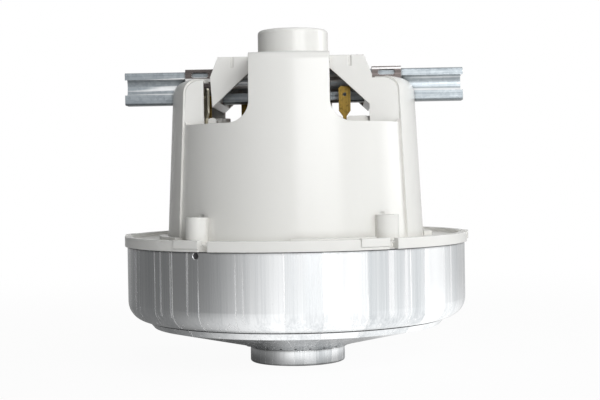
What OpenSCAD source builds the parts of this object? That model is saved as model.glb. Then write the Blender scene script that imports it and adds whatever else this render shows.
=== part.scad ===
// Vacuum motor unit: a single-stage through-flow suction motor on a vertical shaft.
// The shaft stands along +Z and the rim of the inlet collar is z = 0.
// The brush tubes lie along X, and the face that is seen first looks toward -Y.
// Angles called "from the front" run from -Y toward +X.

/* [Inlet collar] */
// Outside diameter of the inlet collar
collar_d = 40; // [36:0.5:46]
// Height of the inlet collar under the fan cover
collar_h = 6.3; // [4.5:0.1:9]
// Wall thickness of the inlet collar
collar_wall = 1.5; // [1.2:0.1:2.2]
// Radius of the collar's lower outside edge
collar_edge_r = 0.8; // [0.3:0.1:1]

/* [Fan cover] */
// Outside diameter of the fan cover
cover_d = 142; // [138:1:156]
// Sheet thickness of the fan cover
cover_sheet = 1; // [0.8:0.1:1.3]
// Straight height of the fan cover's side wall
cover_wall_h = 22.9; // [21:0.1:28]
// Radius of the bend under the side wall
cover_bend_r = 8; // [5:0.5:9]
// Height of the stepped band inside the bend
band_h = 3; // [1.5:0.5:4]
// Radial width of the stepped band
band_w = 2.5; // [1.5:0.5:4]
// Rise of the shallow cone between the neck and the band
cone_h = 7.8; // [5:0.1:10]
// Rise of the steep neck round the collar
neck_h = 1.9; // [1:0.1:3]
// Radial width of the steep neck
neck_w = 5.8; // [4:0.1:8]
// Number of crimp dimples that lock the cover to the bracket
crimp_count = 3; // [2:1:6]
// Radius of the ball that presses a crimp dimple
crimp_ball_r = 2; // [1.5:0.1:3]
// Depth of a crimp dimple
crimp_depth = 0.6; // [0.3:0.1:0.7]
// Distance from the cover's open edge down to the middle of a crimp dimple
crimp_drop = 1.6; // [1.6:0.1:4]

/* [Bearing bracket] */
// Overhang of the bracket rim outside the fan cover
rim_overhang = 1; // [0.7:0.1:2]
// Height of the bracket floor above the cover's open edge
floor_rise = 2.4; // [1.8:0.1:3]
// Thickness of the bracket floor
floor_t = 4; // [3.5:0.1:5]
// Height of the rim lip above the bracket floor
lip_h = 1.7; // [0.8:0.1:3]
// Radial width of the rim lip
lip_w = 2.6; // [1.5:0.1:4]
// Depth of the skirt that centres the bracket in the cover
skirt_h = 5; // [3:0.5:7]
// Wall thickness of the skirt
skirt_t = 2.2; // [1.5:0.1:3]
// Number of stake notches round the rim
notch_count = 6; // [3:1:8]
// Width of a stake notch
notch_w = 4; // [3:0.5:6]
// Angle of the first stake notch from the front
notch_angle = -27; // [-40:1:40]
// Length along the rim of the proud lug beside each notch
lug_l = 12; // [8:0.5:16]
// How far a lug stands proud of the rim
lug_proud = 0.5; // [0.3:0.1:1.2]
// Height of the raised land round the housing's foot
land_h = 1.7; // [0.8:0.1:3]
// Radial width of the raised land
land_w = 3.4; // [2:0.1:6]
// Sweep of each of the four raised lands, in degrees
land_sweep = 35; // [20:1:36]
// Wall round the lower bearing
hub_wall = 3; // [2:0.1:5]
// Thickness of the ledge under the lower bearing
hub_ledge_t = 1.5; // [1:0.1:2.5]
// Number of spokes that carry the lower bearing hub
spoke_count = 6; // [3:1:8]
// Width of a spoke
spoke_w = 5; // [3:0.5:8]
// Height of a spoke
spoke_h = 5; // [3.5:0.5:5]
// Width of the floor between the housing wall and the air passage
passage_ledge = 10; // [8:0.5:12]

/* [Motor housing] */
// Outside diameter of the housing at its foot
body_d = 107.8; // [105:0.1:110]
// Radius that the housing loses from its foot to its shoulder
body_taper = 3.3; // [1:0.1:4.2]
// How far the front and rear walls stand back from the side walls
front_step = 1; // [0.6:0.1:1.4]
// Wall thickness of the housing
body_wall = 2.5; // [2:0.1:2.8]
// Wall thickness of the side walls above the window sills
rail_wall = 1.6; // [1.4:0.1:2]
// Height of the side walls from the foot to the shoulder
body_h = 65.7; // [64:0.1:68]
// Radius of the rounded shoulder on the side walls
shoulder_r = 6; // [3:0.5:7]
// Width of the inward lip on top of the side walls
shoulder_lip = 5; // [2:0.5:6]
// Half of the angle that each side wall covers
side_half_angle = 31; // [28:1:34]
// Height of the shoulder above the window sills
sill_drop = 18.8; // [16:0.1:19.5]
// Radius of the window corner beside a leg
window_leg_r = 8.5; // [3:0.5:10]
// Radius of the window corner beside a side wall
window_side_r = 2.5; // [1:0.5:4]
// Width of the front and rear legs
leg_w = 31.6; // [30:0.1:36]
// Height of the bridge top above the shoulder
bridge_rise = 8.5; // [8:0.1:10]
// Thickness of the bridge deck
deck_t = 3; // [2:0.1:4]
// Radius of the rounded top edge of the legs
leg_top_r = 4; // [2:0.5:5]
// Outside diameter of the upper bearing boss
boss_d = 29.7; // [28.5:0.1:36]
// Height of the upper bearing boss above the bridge
boss_h = 12.9; // [12:0.1:16]
// Thickness of the roof of the upper bearing boss
boss_roof_t = 2.4; // [1.5:0.1:3]
// Radius of the top edge of the upper bearing boss
boss_edge_r = 1.5; // [0.5:0.1:2]

/* [Brush bridge] */
// Half length of the bridge's top edge
bridge_top_x = 29.5; // [28:0.5:31]
// Half length of the bridge at its widest
bridge_wide_x = 32.7; // [32:0.1:34]
// Height from the bridge's widest point to its top
bridge_wide_h = 8; // [6:0.1:10]
// Half distance between the tips of the gussets
gusset_tip_x = 32; // [31:0.1:32]
// Height of a gusset from its tip to the bridge top
gusset_h = 20.3; // [18:0.1:21]
// Height of a gusset beside the leg
gusset_root_h = 5.3; // [4:0.1:7]
// Half depth of the bridge from front gusset to rear gusset
gusset_y = 26; // [24.5:0.1:27]
// Wall thickness of the gussets and of the bridge ends
gusset_t = 2.5; // [1.6:0.1:2.8]
// Distance of the gusset slot marks from the shaft axis
slot_mark_x = 23.8; // [20:0.1:27]
// Width of a gusset slot mark
slot_mark_w = 1.2; // [0.6:0.1:2]
// Height of a gusset slot mark
slot_mark_h = 4.4; // [2:0.1:5]
// Depth of a gusset slot mark
slot_mark_depth = 0.5; // [0.2:0.1:0.8]

/* [Foot screws] */
// Diameter of the screw posts at the housing's foot
post_d = 9.3; // [8.5:0.1:10]
// Height of the screw posts
post_h = 10; // [8:0.1:14]
// Distance of the screw posts' middle outside the housing's foot
post_out = 0.9; // [0.5:0.1:1.5]
// Angle of a screw post from the front
post_angle = 43; // [42:0.1:45]
// Diameter of a foot screw's shank
foot_screw_d = 3; // [2.5:0.1:3.5]
// Diameter of a foot screw's head
foot_head_d = 5.2; // [4.8:0.1:5.4]
// Height of a foot screw's head
foot_head_h = 2.2; // [1.5:0.1:2.8]
// Depth from the post top to the seat of the screw head
post_sink = 3.5; // [3:0.1:5]

/* [Brush gear] */
// Depth of the brush tube axis under the top of the bridge
brush_drop = 10.8; // [10.4:0.1:11.5]
// Width of a brush tube
tube_w = 10.1; // [9.9:0.1:11]
// Height of a brush tube
tube_h = 13.6; // [13.2:0.1:14]
// Sheet thickness of a brush tube
tube_sheet = 0.7; // [0.5:0.1:0.8]
// Distance of a brush tube's outer end from the shaft axis
tube_end_x = 71; // [69:0.5:74]
// Gap between the commutator and a brush tube
tube_start_gap = 3.5; // [2.5:0.1:5]
// Height of the hollow pressed along each side of a brush tube
tube_hollow_h = 6.4; // [5:0.1:7]
// Depth of the hollow pressed along each side of a brush tube
tube_hollow_depth = 1; // [0.5:0.1:1]
// Height of the hollow's middle above the brush tube axis
tube_hollow_up = 0.6; // [0:0.1:1]
// Length that the hollow is cut back at the outer end
tube_cut_back = 1; // [0.5:0.1:2]
// Thickness of a carbon brush
brush_t = 6.3; // [5.5:0.1:6.3]
// Height of a carbon brush
brush_h = 11; // [9:0.1:11.2]
// Length of a carbon brush
brush_l = 36; // [28:0.5:38]
// Gap between a carbon brush and the commutator
brush_gap = 0.12; // [0.1:0.01:0.2]
// Length of the saddle clip over a brush tube
clip_l = 12.3; // [10:0.1:13]
// Sheet thickness of the saddle clip
clip_sheet = 0.9; // [0.6:0.1:1]
// Height of the saddle clip's side legs
clip_leg_h = 11; // [9:0.5:12]
// Length of the oval hole in the saddle clip
clip_hole_l = 7; // [5:0.5:8]
// Height of the oval hole in the saddle clip
clip_hole_h = 2.2; // [1.5:0.1:3]
// Wire diameter of a brush spring
spring_wire_d = 0.9; // [0.6:0.1:1]
// Outside diameter of a brush spring
spring_d = 5.9; // [5:0.1:6]
// Number of curls of a brush spring
spring_curls = 10; // [6:1:11]
// Diameter of the braid that feeds a carbon brush
braid_d = 1.2; // [0.8:0.1:1.6]
// Thickness of the plate that closes a brush tube
tube_plate_t = 1.2; // [0.8:0.1:2]

/* [Terminals] */
// Width of a terminal tab
tab_w = 4.8; // [4.2:0.1:5.4]
// Thickness of a terminal tab
tab_t = 0.8; // [0.5:0.1:1]
// Height of a terminal tab above its pocket
tab_h = 12.2; // [10:0.1:13]
// Height of the tapered shoulder under a terminal tab
tab_shoulder_h = 2.2; // [1:0.1:3]
// Width of the stem that stands in the pocket
tab_stem_w = 1.6; // [1:0.1:2.4]
// Diameter of the latch hole in a terminal tab
tab_hole_d = 1.5; // [1:0.1:2]
// Distance of a mains tab to the side of the shaft axis
mains_tab_x = 21.5; // [21.2:0.1:23]
// Distance of a brush tab inside the stator's flat
brush_tab_in = 3; // [2.8:0.1:3.5]
// Distance from a brush tab's middle to the short window screen beside it
guard_gap = 0.5; // [0.3:0.1:2.5]
// Distance of the tabs in front of the shaft axis
tab_y = 20; // [19.5:0.1:20.5]
// Turn of a brush tab away from the front
brush_tab_turn = 62; // [0:1:90]
// Height of a terminal pocket above the upper insulator
pocket_h = 4.9; // [3:0.1:5]
// Depth of a terminal pocket from front to back
pocket_depth = 7; // [5:0.1:7]
// Radius of the rounded corners of a terminal pocket
pocket_r = 1.3; // [0.5:0.1:1.4]
// Width of the strip that links a brush tab to its brush tube
link_w = 1.4; // [0.8:0.1:1.4]
// Thickness of the strip that links a brush tab to its brush tube
link_t = 0.5; // [0.3:0.1:0.8]

/* [Stator and armature] */
// Diameter of the armature core
armature_d = 41; // [38:0.5:42]
// Air gap between armature and stator
air_gap = 0.5; // [0.4:0.1:0.8]
// Depth of the top of the two iron stacks under the brush tube axis
stack_drop = 19.7; // [19.7:0.1:22]
// Height of the stator's lower face above the housing's foot
stack_rise = 13.7; // [13:0.1:14]
// Gap between the stator core and the housing wall
stator_gap = 2.9; // [2.6:0.1:3.2]
// Depth of the flat on each side of the stator core
flat_cut = 7.3; // [5:0.1:8]
// Distance from a stator screw to the side of the coil cavity
cavity_in = 7; // [6:0.1:8]
// Thickness of the stator's iron behind a field coil
yoke_t = 12.3; // [11.4:0.1:12.8]
// Corner radius of the coil cavity
cavity_r = 8; // [4:0.5:8]
// Width of a stator pole
pole_w = 20; // [16:0.5:20]
// Thickness of a pole shoe
shoe_t = 4; // [3:0.1:4]
// Half of the angle that a pole shoe covers
shoe_half_angle = 60; // [50:1:66]
// Thickness of a field coil's winding
coil_t = 7; // [5:0.1:7]
// Thickness of the stator insulators
insulator_t = 1.2; // [0.8:0.1:1.6]
// Distance of the stator screws inside the stator's flats
stator_screw_in = 6.5; // [6:0.1:7.5]
// Diameter of the stator screws
stator_screw_d = 4; // [3:0.1:4.5]
// Height of the housing arms that take the stator screws
arm_h = 5.6; // [5:0.1:7]
// Number of armature slots
slot_count = 12; // [8:1:12]
// Diameter of an armature slot
slot_d = 5.6; // [4:0.1:5.8]
// Opening of an armature slot
slot_opening = 2.2; // [1.5:0.1:3]
// Height of the winding heads on the armature
winding_head_h = 6; // [4:0.1:6]
// Diameter of the commutator
commutator_d = 24; // [22:0.5:24]
// Number of commutator bars
bar_count = 24; // [16:1:24]
// Gap between two commutator bars
bar_gap = 0.6; // [0.4:0.1:0.8]
// Depth of a commutator bar
bar_depth = 3.6; // [2.5:0.1:4.5]
// Height of the wire hooks under the commutator bars
riser_h = 2.5; // [1.5:0.1:3]
// How far the wire hooks stand out from the bars
riser_out = 1.8; // [1:0.1:2.5]

/* [Shaft and bearings] */
// Diameter of the shaft
shaft_d = 8; // [7:0.5:8]
// Outside diameter of the ball bearings
bearing_d = 22; // [22:0.5:24]
// Width of the ball bearings
bearing_w = 7; // [6:0.5:7]
// Number of balls in a bearing
ball_count = 7; // [6:1:7]
// Radial thickness of the rubber damper round the upper bearing
damper_t = 1; // [0.8:0.1:1.5]
// Outside diameter of the fan spacer
spacer_d = 13; // [11:0.5:14]

/* [Fan and diffuser] */
// Gap between the fan's rim and the cover's side wall
fan_tip_gap = 8; // [7.5:0.5:10]
// Gap between the fan's front plate and the cover's cone
fan_front_gap = 5; // [4.5:0.1:6]
// Gap between the fan's back plate and the diffuser
fan_back_gap = 2.5; // [2:0.1:3.5]
// Sheet thickness of the fan plates
fan_sheet = 1; // [0.8:0.1:1.2]
// Number of fan blades
blade_count = 9; // [6:1:11]
// Sheet thickness of a fan blade
blade_t = 0.9; // [0.6:0.1:1.5]
// Radius of a fan blade's curve
blade_curve_r = 40; // [38:0.5:44]
// Distance of the blade curve's centre from the shaft axis
blade_centre_r = 28; // [27:0.5:29]
// Height of the return vanes on the diffuser
vane_h = 9.8; // [8:0.1:10]
// Number of return vanes
vane_count = 11; // [7:1:13]
// Thickness of a return vane
vane_t = 1.6; // [1:0.1:2]
// Thickness of the diffuser disc
disc_t = 2; // [1.8:0.1:2.5]
// Gap between the diffuser disc and the cover's side wall
disc_gap = 5; // [4:0.1:6]
// Width across the flats of the fan nut
nut_af = 13; // [12:0.5:14]
// Height of the fan nut
nut_h = 6.5; // [5:0.1:7]
// Diameter of the fan washer
washer_d = 20; // [16:0.5:24]
// Thickness of the fan washer
washer_t = 1.5; // [1:0.1:2]

/* [Hidden] */
$fn = 72;
// Reach of a cutter past the surface that it cuts
over = 1;
// Radius and height that lie outside the whole unit
far = 200;
// Gap between pieces that are slipped together
slip = 0.1;
// Gap between a bearing ball and its groove
ball_slip = 0.08;
// Gap between turning pieces and the pieces round them
free_gap = 1;

collar_r = collar_d / 2;
collar_bore_r = collar_r - collar_wall;
cover_r = cover_d / 2;
cover_bore_r = cover_r - cover_sheet;
z_neck = collar_h;
z_cone = z_neck + neck_h;
z_band = z_cone + cone_h;
z_shelf = z_band + band_h;
z_bend = z_shelf + cover_bend_r;
z_edge = z_bend + cover_wall_h;
r_cone = collar_r + neck_w;
r_shelf = cover_r - cover_bend_r;
r_band = r_shelf - band_w;
cover_hole_r = collar_bore_r + collar_wall / 2;
cone_slope = cone_h / (r_band - r_cone);

z_foot = z_edge + floor_rise;
z_floor = z_foot - floor_t;
z_lip = z_foot + lip_h;
rim_r = cover_r + rim_overhang;
skirt_r = cover_bore_r - slip;

body_r = body_d / 2;
z_shoulder = z_foot + body_h;
z_sill = z_shoulder - sill_drop;
z_bridge = z_shoulder + bridge_rise;
z_deck = z_bridge - deck_t;
z_boss = z_bridge + boss_h;
z_roof = z_boss - boss_roof_t;
// Radius of the side walls at a height
function side_r(z) = body_r - body_taper * (z - z_foot) / body_h;
// Radius of the front and rear walls at a height
function front_r(z) = side_r(z) - front_step;
foot_bore_r = front_r(z_foot) - body_wall;
passage_r = foot_bore_r - passage_ledge;
land_r = body_r + 3 * slip;
post_r = body_r + post_out;

z_brush = z_bridge - brush_drop;
tube_bottom = z_brush - tube_h / 2;
tube_top = z_brush + tube_h / 2;
commutator_r = commutator_d / 2;
tube_start_x = commutator_r + tube_start_gap;
brush_back_x = commutator_r + brush_gap + brush_l;
tube_plate_x = tube_end_x - tube_cut_back - tube_plate_t;
clip_x = bridge_wide_x + 3 * slip;
clip_top = tube_top + clip_sheet;
// Radius of the arc of the hollow pressed along each side of a brush tube
hollow_r = (pow(tube_hollow_h / 2, 2) + pow(tube_hollow_depth, 2)) / (2 * tube_hollow_depth);
hollow_centre = tube_w / 2 + hollow_r - tube_hollow_depth;
tube_corner_r = 0.9;

z_stack = z_foot + stack_rise;
z_stack_top = z_brush - stack_drop;
stack_h = z_stack_top - z_stack;
z_insulator_top = z_stack_top + insulator_t;
z_pocket = z_insulator_top + pocket_h;
stator_r = front_r(z_stack_top) - body_wall - stator_gap;
stator_flat_x = stator_r - flat_cut;
stator_screw_x = stator_flat_x - stator_screw_in;
brush_tab_x = stator_flat_x - brush_tab_in;
guard_x = brush_tab_x + guard_gap;
cavity_w = 2 * (stator_screw_x - cavity_in);
cavity_depth = 2 * (stator_r - yoke_t);
armature_r = armature_d / 2;
stator_bore_r = armature_r + air_gap;
slot_r = armature_r - slot_opening - slot_d / 2;
armature_disc_t = 0.8;
z_head_low = z_stack - armature_disc_t - winding_head_h;
z_head_top = z_stack_top + armature_disc_t + winding_head_h;
z_riser = z_head_top + free_gap / 2;
z_bars_top = z_brush + brush_h / 2 + free_gap;
commutator_hub_r = commutator_r - bar_depth;
// Top of the arms that take the stator screws, and the tip of those screws
z_arm = z_insulator_top + arm_h;
z_stator_tip = z_arm - 2 * free_gap;
coil_front_y = stator_bore_r + shoe_t + 5 * slip;
coil_back_y = cavity_depth / 2 - 5 * slip;

shaft_r = shaft_d / 2;
bearing_r = bearing_d / 2;
race_r = (shaft_r + bearing_r) / 2;
ball_r = 0.28 * (bearing_r - shaft_r);
ring_t = 0.3 * (bearing_r - shaft_r);
shield_t = 0.3;
hub_r = bearing_r + hub_wall;
z_low_bearing = z_floor + hub_ledge_t;
z_low_bearing_top = z_low_bearing + bearing_w;
damper_r = bearing_r + damper_t;
z_up_bearing = z_roof - bearing_w - 1.5 * free_gap;
z_up_bearing_top = z_up_bearing + bearing_w;

z_disc_top = z_floor - vane_h;
z_disc = z_disc_top - disc_t;
disc_r = cover_bore_r - disc_gap;
z_back = z_disc - fan_back_gap;
z_back_low = z_back - fan_sheet;
fan_r = cover_bore_r - fan_tip_gap;
eye_r = collar_bore_r - slip * 5;
// Height of the fan's front plate, upper face, at a radius
function front_plate_z(r) = z_cone + cover_sheet + fan_front_gap + fan_sheet + (r - r_cone) * cone_slope;
z_nut = z_back_low - washer_t - nut_h;
z_shaft_low = z_nut - free_gap;
diffuser_screw_d = 2.8;
diffuser_head_d = 5;
diffuser_boss_d = 6;
diffuser_screw_r = passage_r + diffuser_boss_d / 2 + free_gap;
diffuser_screw_grip = floor_t * 0.75;
diffuser_head_h = disc_t * 0.75;
vane_inner_r = diffuser_screw_r + diffuser_boss_d / 2 + 2 * free_gap;
vane_outer_r = min(disc_r, skirt_r - skirt_t) - free_gap;
// Radius and centre of the curve that the return vanes follow
vane_curve_r = vane_outer_r * 0.75;
vane_centre_r = vane_outer_r * 0.45;

// Colours of the materials
white_plastic = [0.93, 0.93, 0.91];
bright_sheet = [0.80, 0.82, 0.84];
plated_steel = [0.66, 0.68, 0.71];
bare_steel = [0.55, 0.56, 0.58];
iron = [0.36, 0.37, 0.39];
copper = [0.72, 0.40, 0.24];
brass = [0.72, 0.58, 0.25];
carbon = [0.12, 0.12, 0.13];
dark_resin = [0.25, 0.15, 0.10];
rubber = [0.08, 0.08, 0.08];

// Shared shapes

// A rectangle about the origin with round corners
module round_box(w, h, r) {
    square([w - 2 * r, h], center = true);
    square([w, h - 2 * r], center = true);
    for (sx = [-1, 1], sy = [-1, 1])
        translate([sx * (w / 2 - r), sy * (h / 2 - r)])
            circle(r);
}

// A ring between two radii
module ring_2d(r_in, r_out) {
    difference() {
        circle(r_out);
        circle(r_in);
    }
}

// A tube between two radii and two heights
module ring(r_in, r_out, z_low, z_top) {
    translate([0, 0, z_low])
        difference() {
            cylinder(r = r_out, h = z_top - z_low);
            translate([0, 0, -over])
                cylinder(r = r_in, h = z_top - z_low + 2 * over);
        }
}

// A wedge about +X that reaches past the whole unit
module wedge_2d(half_angle) {
    polygon([[0, 0], [far, -far * tan(half_angle)], [far, far * tan(half_angle)]]);
}

// Draws a flat shape in the XZ plane, spread over a depth in Y
module upright(y_low, y_high) {
    translate([0, y_high, 0])
        rotate([90, 0, 0])
            linear_extrude(y_high - y_low)
                children();
}

// Draws a flat shape in the YZ plane, spread over a length in X
module lengthwise(x_low, x_high) {
    translate([x_low, 0, 0])
        rotate([90, 0, 90])
            linear_extrude(x_high - x_low)
                children();
}

// Draws its children and the same turned half round the shaft
module both_ends() {
    for (turn = [0, 180])
        rotate(turn)
            children();
}

// Draws its children at each of the four foot posts
module at_posts() {
    for (angle = [post_angle, 180 - post_angle, 180 + post_angle, -post_angle])
        from_front(angle)
            translate([post_r, 0, 0])
                children();
}

// Turns its children to an angle from the front
module from_front(angle) {
    rotate(angle - 90)
        children();
}

// A closed tube through a list of rings of points
module skin(rings) {
    sides = len(rings[0]);
    last = len(rings) - 1;
    polyhedron(
        points = [for (one = rings, p = one) p],
        faces = concat(
            [[for (i = [sides - 1 : -1 : 0]) i]],
            [for (k = [0 : last - 1], i = [0 : sides - 1])
                [k * sides + i, k * sides + (i + 1) % sides, (k + 1) * sides + i]],
            [for (k = [0 : last - 1], i = [0 : sides - 1])
                [k * sides + (i + 1) % sides, (k + 1) * sides + (i + 1) % sides, (k + 1) * sides + i]],
            [[for (i = [0 : sides - 1]) last * sides + i]]
        ),
        convexity = 10
    );
}

// A ring of points about a centre, in the plane of two unit vectors
function ring_points(centre, u, v, r, sides) =
    [for (i = [0 : sides - 1]) centre + r * (cos(360 * i / sides) * u + sin(360 * i / sides) * v)];
function unit(v) = v / norm(v);

// Inlet collar and fan cover

// The collar is rolled over inside the hole of the fan cover
module inlet_collar() {
    rolled_t = collar_wall / 2;
    color(bright_sheet)
        rotate_extrude()
            difference() {
                union() {
                    translate([collar_bore_r, collar_edge_r])
                        square([collar_wall, z_neck - collar_edge_r]);
                    translate([collar_bore_r, 0])
                        square([collar_wall - collar_edge_r, z_neck]);
                    translate([collar_r - collar_edge_r, collar_edge_r])
                        circle(collar_edge_r);
                    translate([collar_bore_r, z_neck - over])
                        square([cover_hole_r - collar_bore_r, over + cover_sheet + rolled_t]);
                    translate([collar_bore_r, z_neck + cover_sheet])
                        square([collar_wall, rolled_t]);
                }
                translate([0, -over])
                    square([collar_bore_r, far]);
            }
}

// Everything inside a drawn surface of the cover, inset by a thickness
module cover_region(inset) {
    rise = z_neck + inset;
    union() {
        polygon([
            [0, rise],
            [collar_r, rise],
            [r_cone, z_cone + inset],
            [r_band - inset / 2, z_band + inset],
            [r_shelf - inset / 2, z_shelf + inset],
            [r_shelf, z_shelf + inset],
            [r_shelf, z_bend],
            [cover_r - inset, z_bend],
            [cover_r - inset, z_edge + inset],
            [0, z_edge + inset]
        ]);
        translate([r_shelf, z_bend])
            circle(cover_bend_r - inset);
    }
}

module fan_cover() {
    color(bright_sheet)
        difference() {
            rotate_extrude()
                difference() {
                    cover_region(0);
                    cover_region(cover_sheet);
                    square([cover_hole_r, far]);
                }
            for (i = [0 : crimp_count - 1])
                from_front(notch_angle - asin(notch_w / rim_r) + 360 * i / crimp_count)
                    translate([cover_r + crimp_ball_r - crimp_depth, 0, z_edge - crimp_drop])
                        sphere(crimp_ball_r);
        }
}

// Bearing bracket

// The rim with its notches and the lug beside each notch
module bracket_rim() {
    lug_angle = (lug_l + notch_w / 2) / rim_r * 180 / PI;
    lug_inner_r = rim_r - lip_w * 0.7;
    z_lug = z_edge + floor_rise / 2;
    difference() {
        union() {
            ring(passage_r, rim_r, z_edge, z_foot);
            ring(rim_r - lip_w, rim_r, z_edge, z_lip);
            for (i = [0 : notch_count - 1])
                from_front(notch_angle - lug_angle / 2 + 360 * i / notch_count)
                    intersection() {
                        ring(lug_inner_r, rim_r + lug_proud, z_lug, z_lip + lug_proud / 2);
                        linear_extrude(far)
                            wedge_2d(lug_angle / 2);
                    }
        }
        for (i = [0 : notch_count - 1])
            from_front(notch_angle + 360 * i / notch_count)
                translate([rim_r - lip_w - over, -notch_w / 2, z_edge - over])
                    cube([lip_w + 3 * over, notch_w, far]);
    }
}

// Raised lands that surround the housing's foot between the posts
module bracket_lands() {
    for (turn = [0, 90, 180, 270])
        from_front(turn + land_sweep / 2)
            intersection() {
                ring(land_r, land_r + land_w, z_foot - over, z_foot + land_h);
                linear_extrude(far)
                    wedge_2d(land_sweep / 2);
            }
}

module bearing_bracket() {
    color(white_plastic)
        difference() {
            union() {
                bracket_rim();
                bracket_lands();
                ring(passage_r, skirt_r, z_floor, z_edge + over / 2);
                ring(skirt_r - skirt_t, skirt_r, z_floor - skirt_h, z_floor + over);
                ring(foot_bore_r - slip - 2 * body_wall, foot_bore_r - slip, z_foot - over, z_foot + lip_h);
                ring(bearing_r - 2, hub_r, z_floor, z_low_bearing_top);
                for (i = [0 : spoke_count - 1])
                    rotate(360 * i / spoke_count)
                        translate([hub_r - over, -spoke_w / 2, z_floor])
                            cube([passage_r + 2 * over - hub_r, spoke_w, spoke_h]);
            }
            translate([0, 0, z_low_bearing])
                cylinder(r = bearing_r, h = far);
            at_posts()
                translate([0, 0, z_floor + over / 2])
                    cylinder(d = foot_screw_d, h = far);
            at_diffuser_screws()
                translate([0, 0, z_floor - z_disc - over])
                    cylinder(d = diffuser_screw_d, h = over + diffuser_screw_grip);
        }
}

// Motor housing

// Everything inside a wall profile, inset by a wall, with a rounded top edge
module wall_region(foot_r, top_r, z_top, edge_r) {
    z_round = z_top - edge_r;
    round_r = foot_r + (top_r - foot_r) * (z_round - z_foot) / (z_top - z_foot);
    polygon([[0, z_foot], [foot_r, z_foot], [round_r, z_round], [round_r - edge_r, z_top], [0, z_top]]);
    translate([round_r - edge_r, z_round])
        circle(edge_r);
}

// Front and rear walls, the two legs and the deck between them
module front_shell() {
    bay_margin = 2.5;
    difference() {
        rotate_extrude()
            intersection() {
                difference() {
                    wall_region(front_r(z_foot), front_r(z_bridge), z_bridge, leg_top_r);
                    translate([0, -over / 100])
                        wall_region(foot_bore_r, front_r(z_bridge) - body_wall, z_deck, leg_top_r / 2);
                }
                square([far, far]);
            }
        for (side = [0, 1])
            mirror([side, 0, 0])
                upright(-far, far)
                    window_2d();
        both_ends()
            linear_extrude(z_sill)
                wedge_2d(side_half_angle - bay_margin);
    }
}

// Outline of the opening beside a leg, with the round corner at its sill
module window_2d() {
    edge = leg_w / 2;
    translate([edge + window_leg_r, z_sill])
        square([far, far]);
    translate([edge, z_sill + window_leg_r])
        square([far, far]);
    translate([edge + window_leg_r, z_sill + window_leg_r])
        circle(window_leg_r);
}

// Everything inside side walls of a given thickness
module side_room(wall) {
    wall_region(body_r - wall, side_r(z_shoulder) - wall, z_shoulder - wall, max(shoulder_r - wall, 0.5));
}

// The two side walls with their rounded shoulders, thinner above the window sills
module side_shell() {
    lip_r = side_r(z_shoulder) - shoulder_r - shoulder_lip;
    both_ends()
        intersection() {
            rotate_extrude()
                intersection() {
                    difference() {
                        wall_region(body_r, side_r(z_shoulder), z_shoulder, shoulder_r);
                        translate([0, -over / 100])
                            side_room(body_wall);
                        intersection() {
                            side_room(rail_wall);
                            translate([0, z_sill - rail_wall / 2])
                                square([far, far]);
                        }
                        square([lip_r, far]);
                    }
                    square([far, far]);
                }
            linear_extrude(far)
                wedge_2d(side_half_angle);
        }
}

// Fillets where a sill meets a side wall
module sill_fillets() {
    intersection() {
        ring(front_r(z_sill) - body_wall + slip, front_r(z_sill) - slip, z_sill - over, z_sill + window_side_r);
        both_ends()
            for (side = [0, 1])
                mirror([0, side, 0])
                    rotate(side_half_angle)
                        lengthwise(0, far)
                            difference() {
                                translate([-over, z_sill - over])
                                    square(window_side_r + over);
                                translate([window_side_r, z_sill + window_side_r])
                                    circle(window_side_r);
                            }
    }
}

// Outline of the bridge: flat top, sloping ends, gusset tips and the arch between them
module bridge_2d() {
    right = [
        [bridge_top_x, z_bridge],
        [bridge_wide_x, z_bridge - bridge_wide_h],
        [gusset_tip_x, z_bridge - gusset_h],
        [leg_w / 2, z_bridge - gusset_root_h]
    ];
    polygon(concat(right, mirrored(right)));
}

// Outline of the room under the bridge, open at the bottom
module bridge_room_2d() {
    low = z_bridge - gusset_h - over;
    right = [
        [bridge_top_x - gusset_t, z_deck],
        [bridge_wide_x - gusset_t, z_bridge - bridge_wide_h],
        [gusset_tip_x - gusset_t, low]
    ];
    polygon(concat(right, mirrored(right)));
}

// The same points on the other side of the shaft, in the order that closes the outline
function mirrored(points) = [for (i = [len(points) - 1 : -1 : 0]) [-points[i][0], points[i][1]]];

// The bridge: a deck with end walls and four gussets, open underneath
module brush_bridge() {
    difference() {
        upright(-gusset_y, gusset_y)
            bridge_2d();
        upright(gusset_t - gusset_y, gusset_y - gusset_t)
            bridge_room_2d();
        for (side = [-1, 1], face = [-1, 1])
            translate([side * slot_mark_x - slot_mark_w / 2,
                       face * gusset_y - slot_mark_depth, z_bridge - slot_mark_h])
                cube([slot_mark_w, 2 * slot_mark_depth, slot_mark_h + over]);
    }
}

// One window screen, from a distance off the shaft axis out to the side wall
module window_screen(x_start, thickness) {
    intersection() {
        translate([x_start, -gusset_y, z_sill - rail_wall / 2])
            cube([far, thickness, far]);
        rotate_extrude()
            intersection() {
                side_room(rail_wall / 2);
                square([far, far]);
            }
    }
}

// A full screen beside each mains tab and a short one beside each brush tab
module terminal_screens() {
    both_ends() {
        window_screen(gusset_tip_x - over / 2, gusset_t);
        mirror([1, 0, 0])
            window_screen(guard_x, rail_wall);
    }
}

// Upper bearing boss, closed at the top
module bearing_boss() {
    rotate_extrude()
        difference() {
            union() {
                translate([0, z_deck])
                    square([boss_d / 2, z_boss - boss_edge_r - z_deck]);
                translate([0, z_boss - over - boss_edge_r])
                    square([boss_d / 2 - boss_edge_r, over + boss_edge_r]);
                translate([boss_d / 2 - boss_edge_r, z_boss - boss_edge_r])
                    circle(boss_edge_r);
            }
            translate([-far, 0])
                square([far, far]);
        }
}

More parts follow.
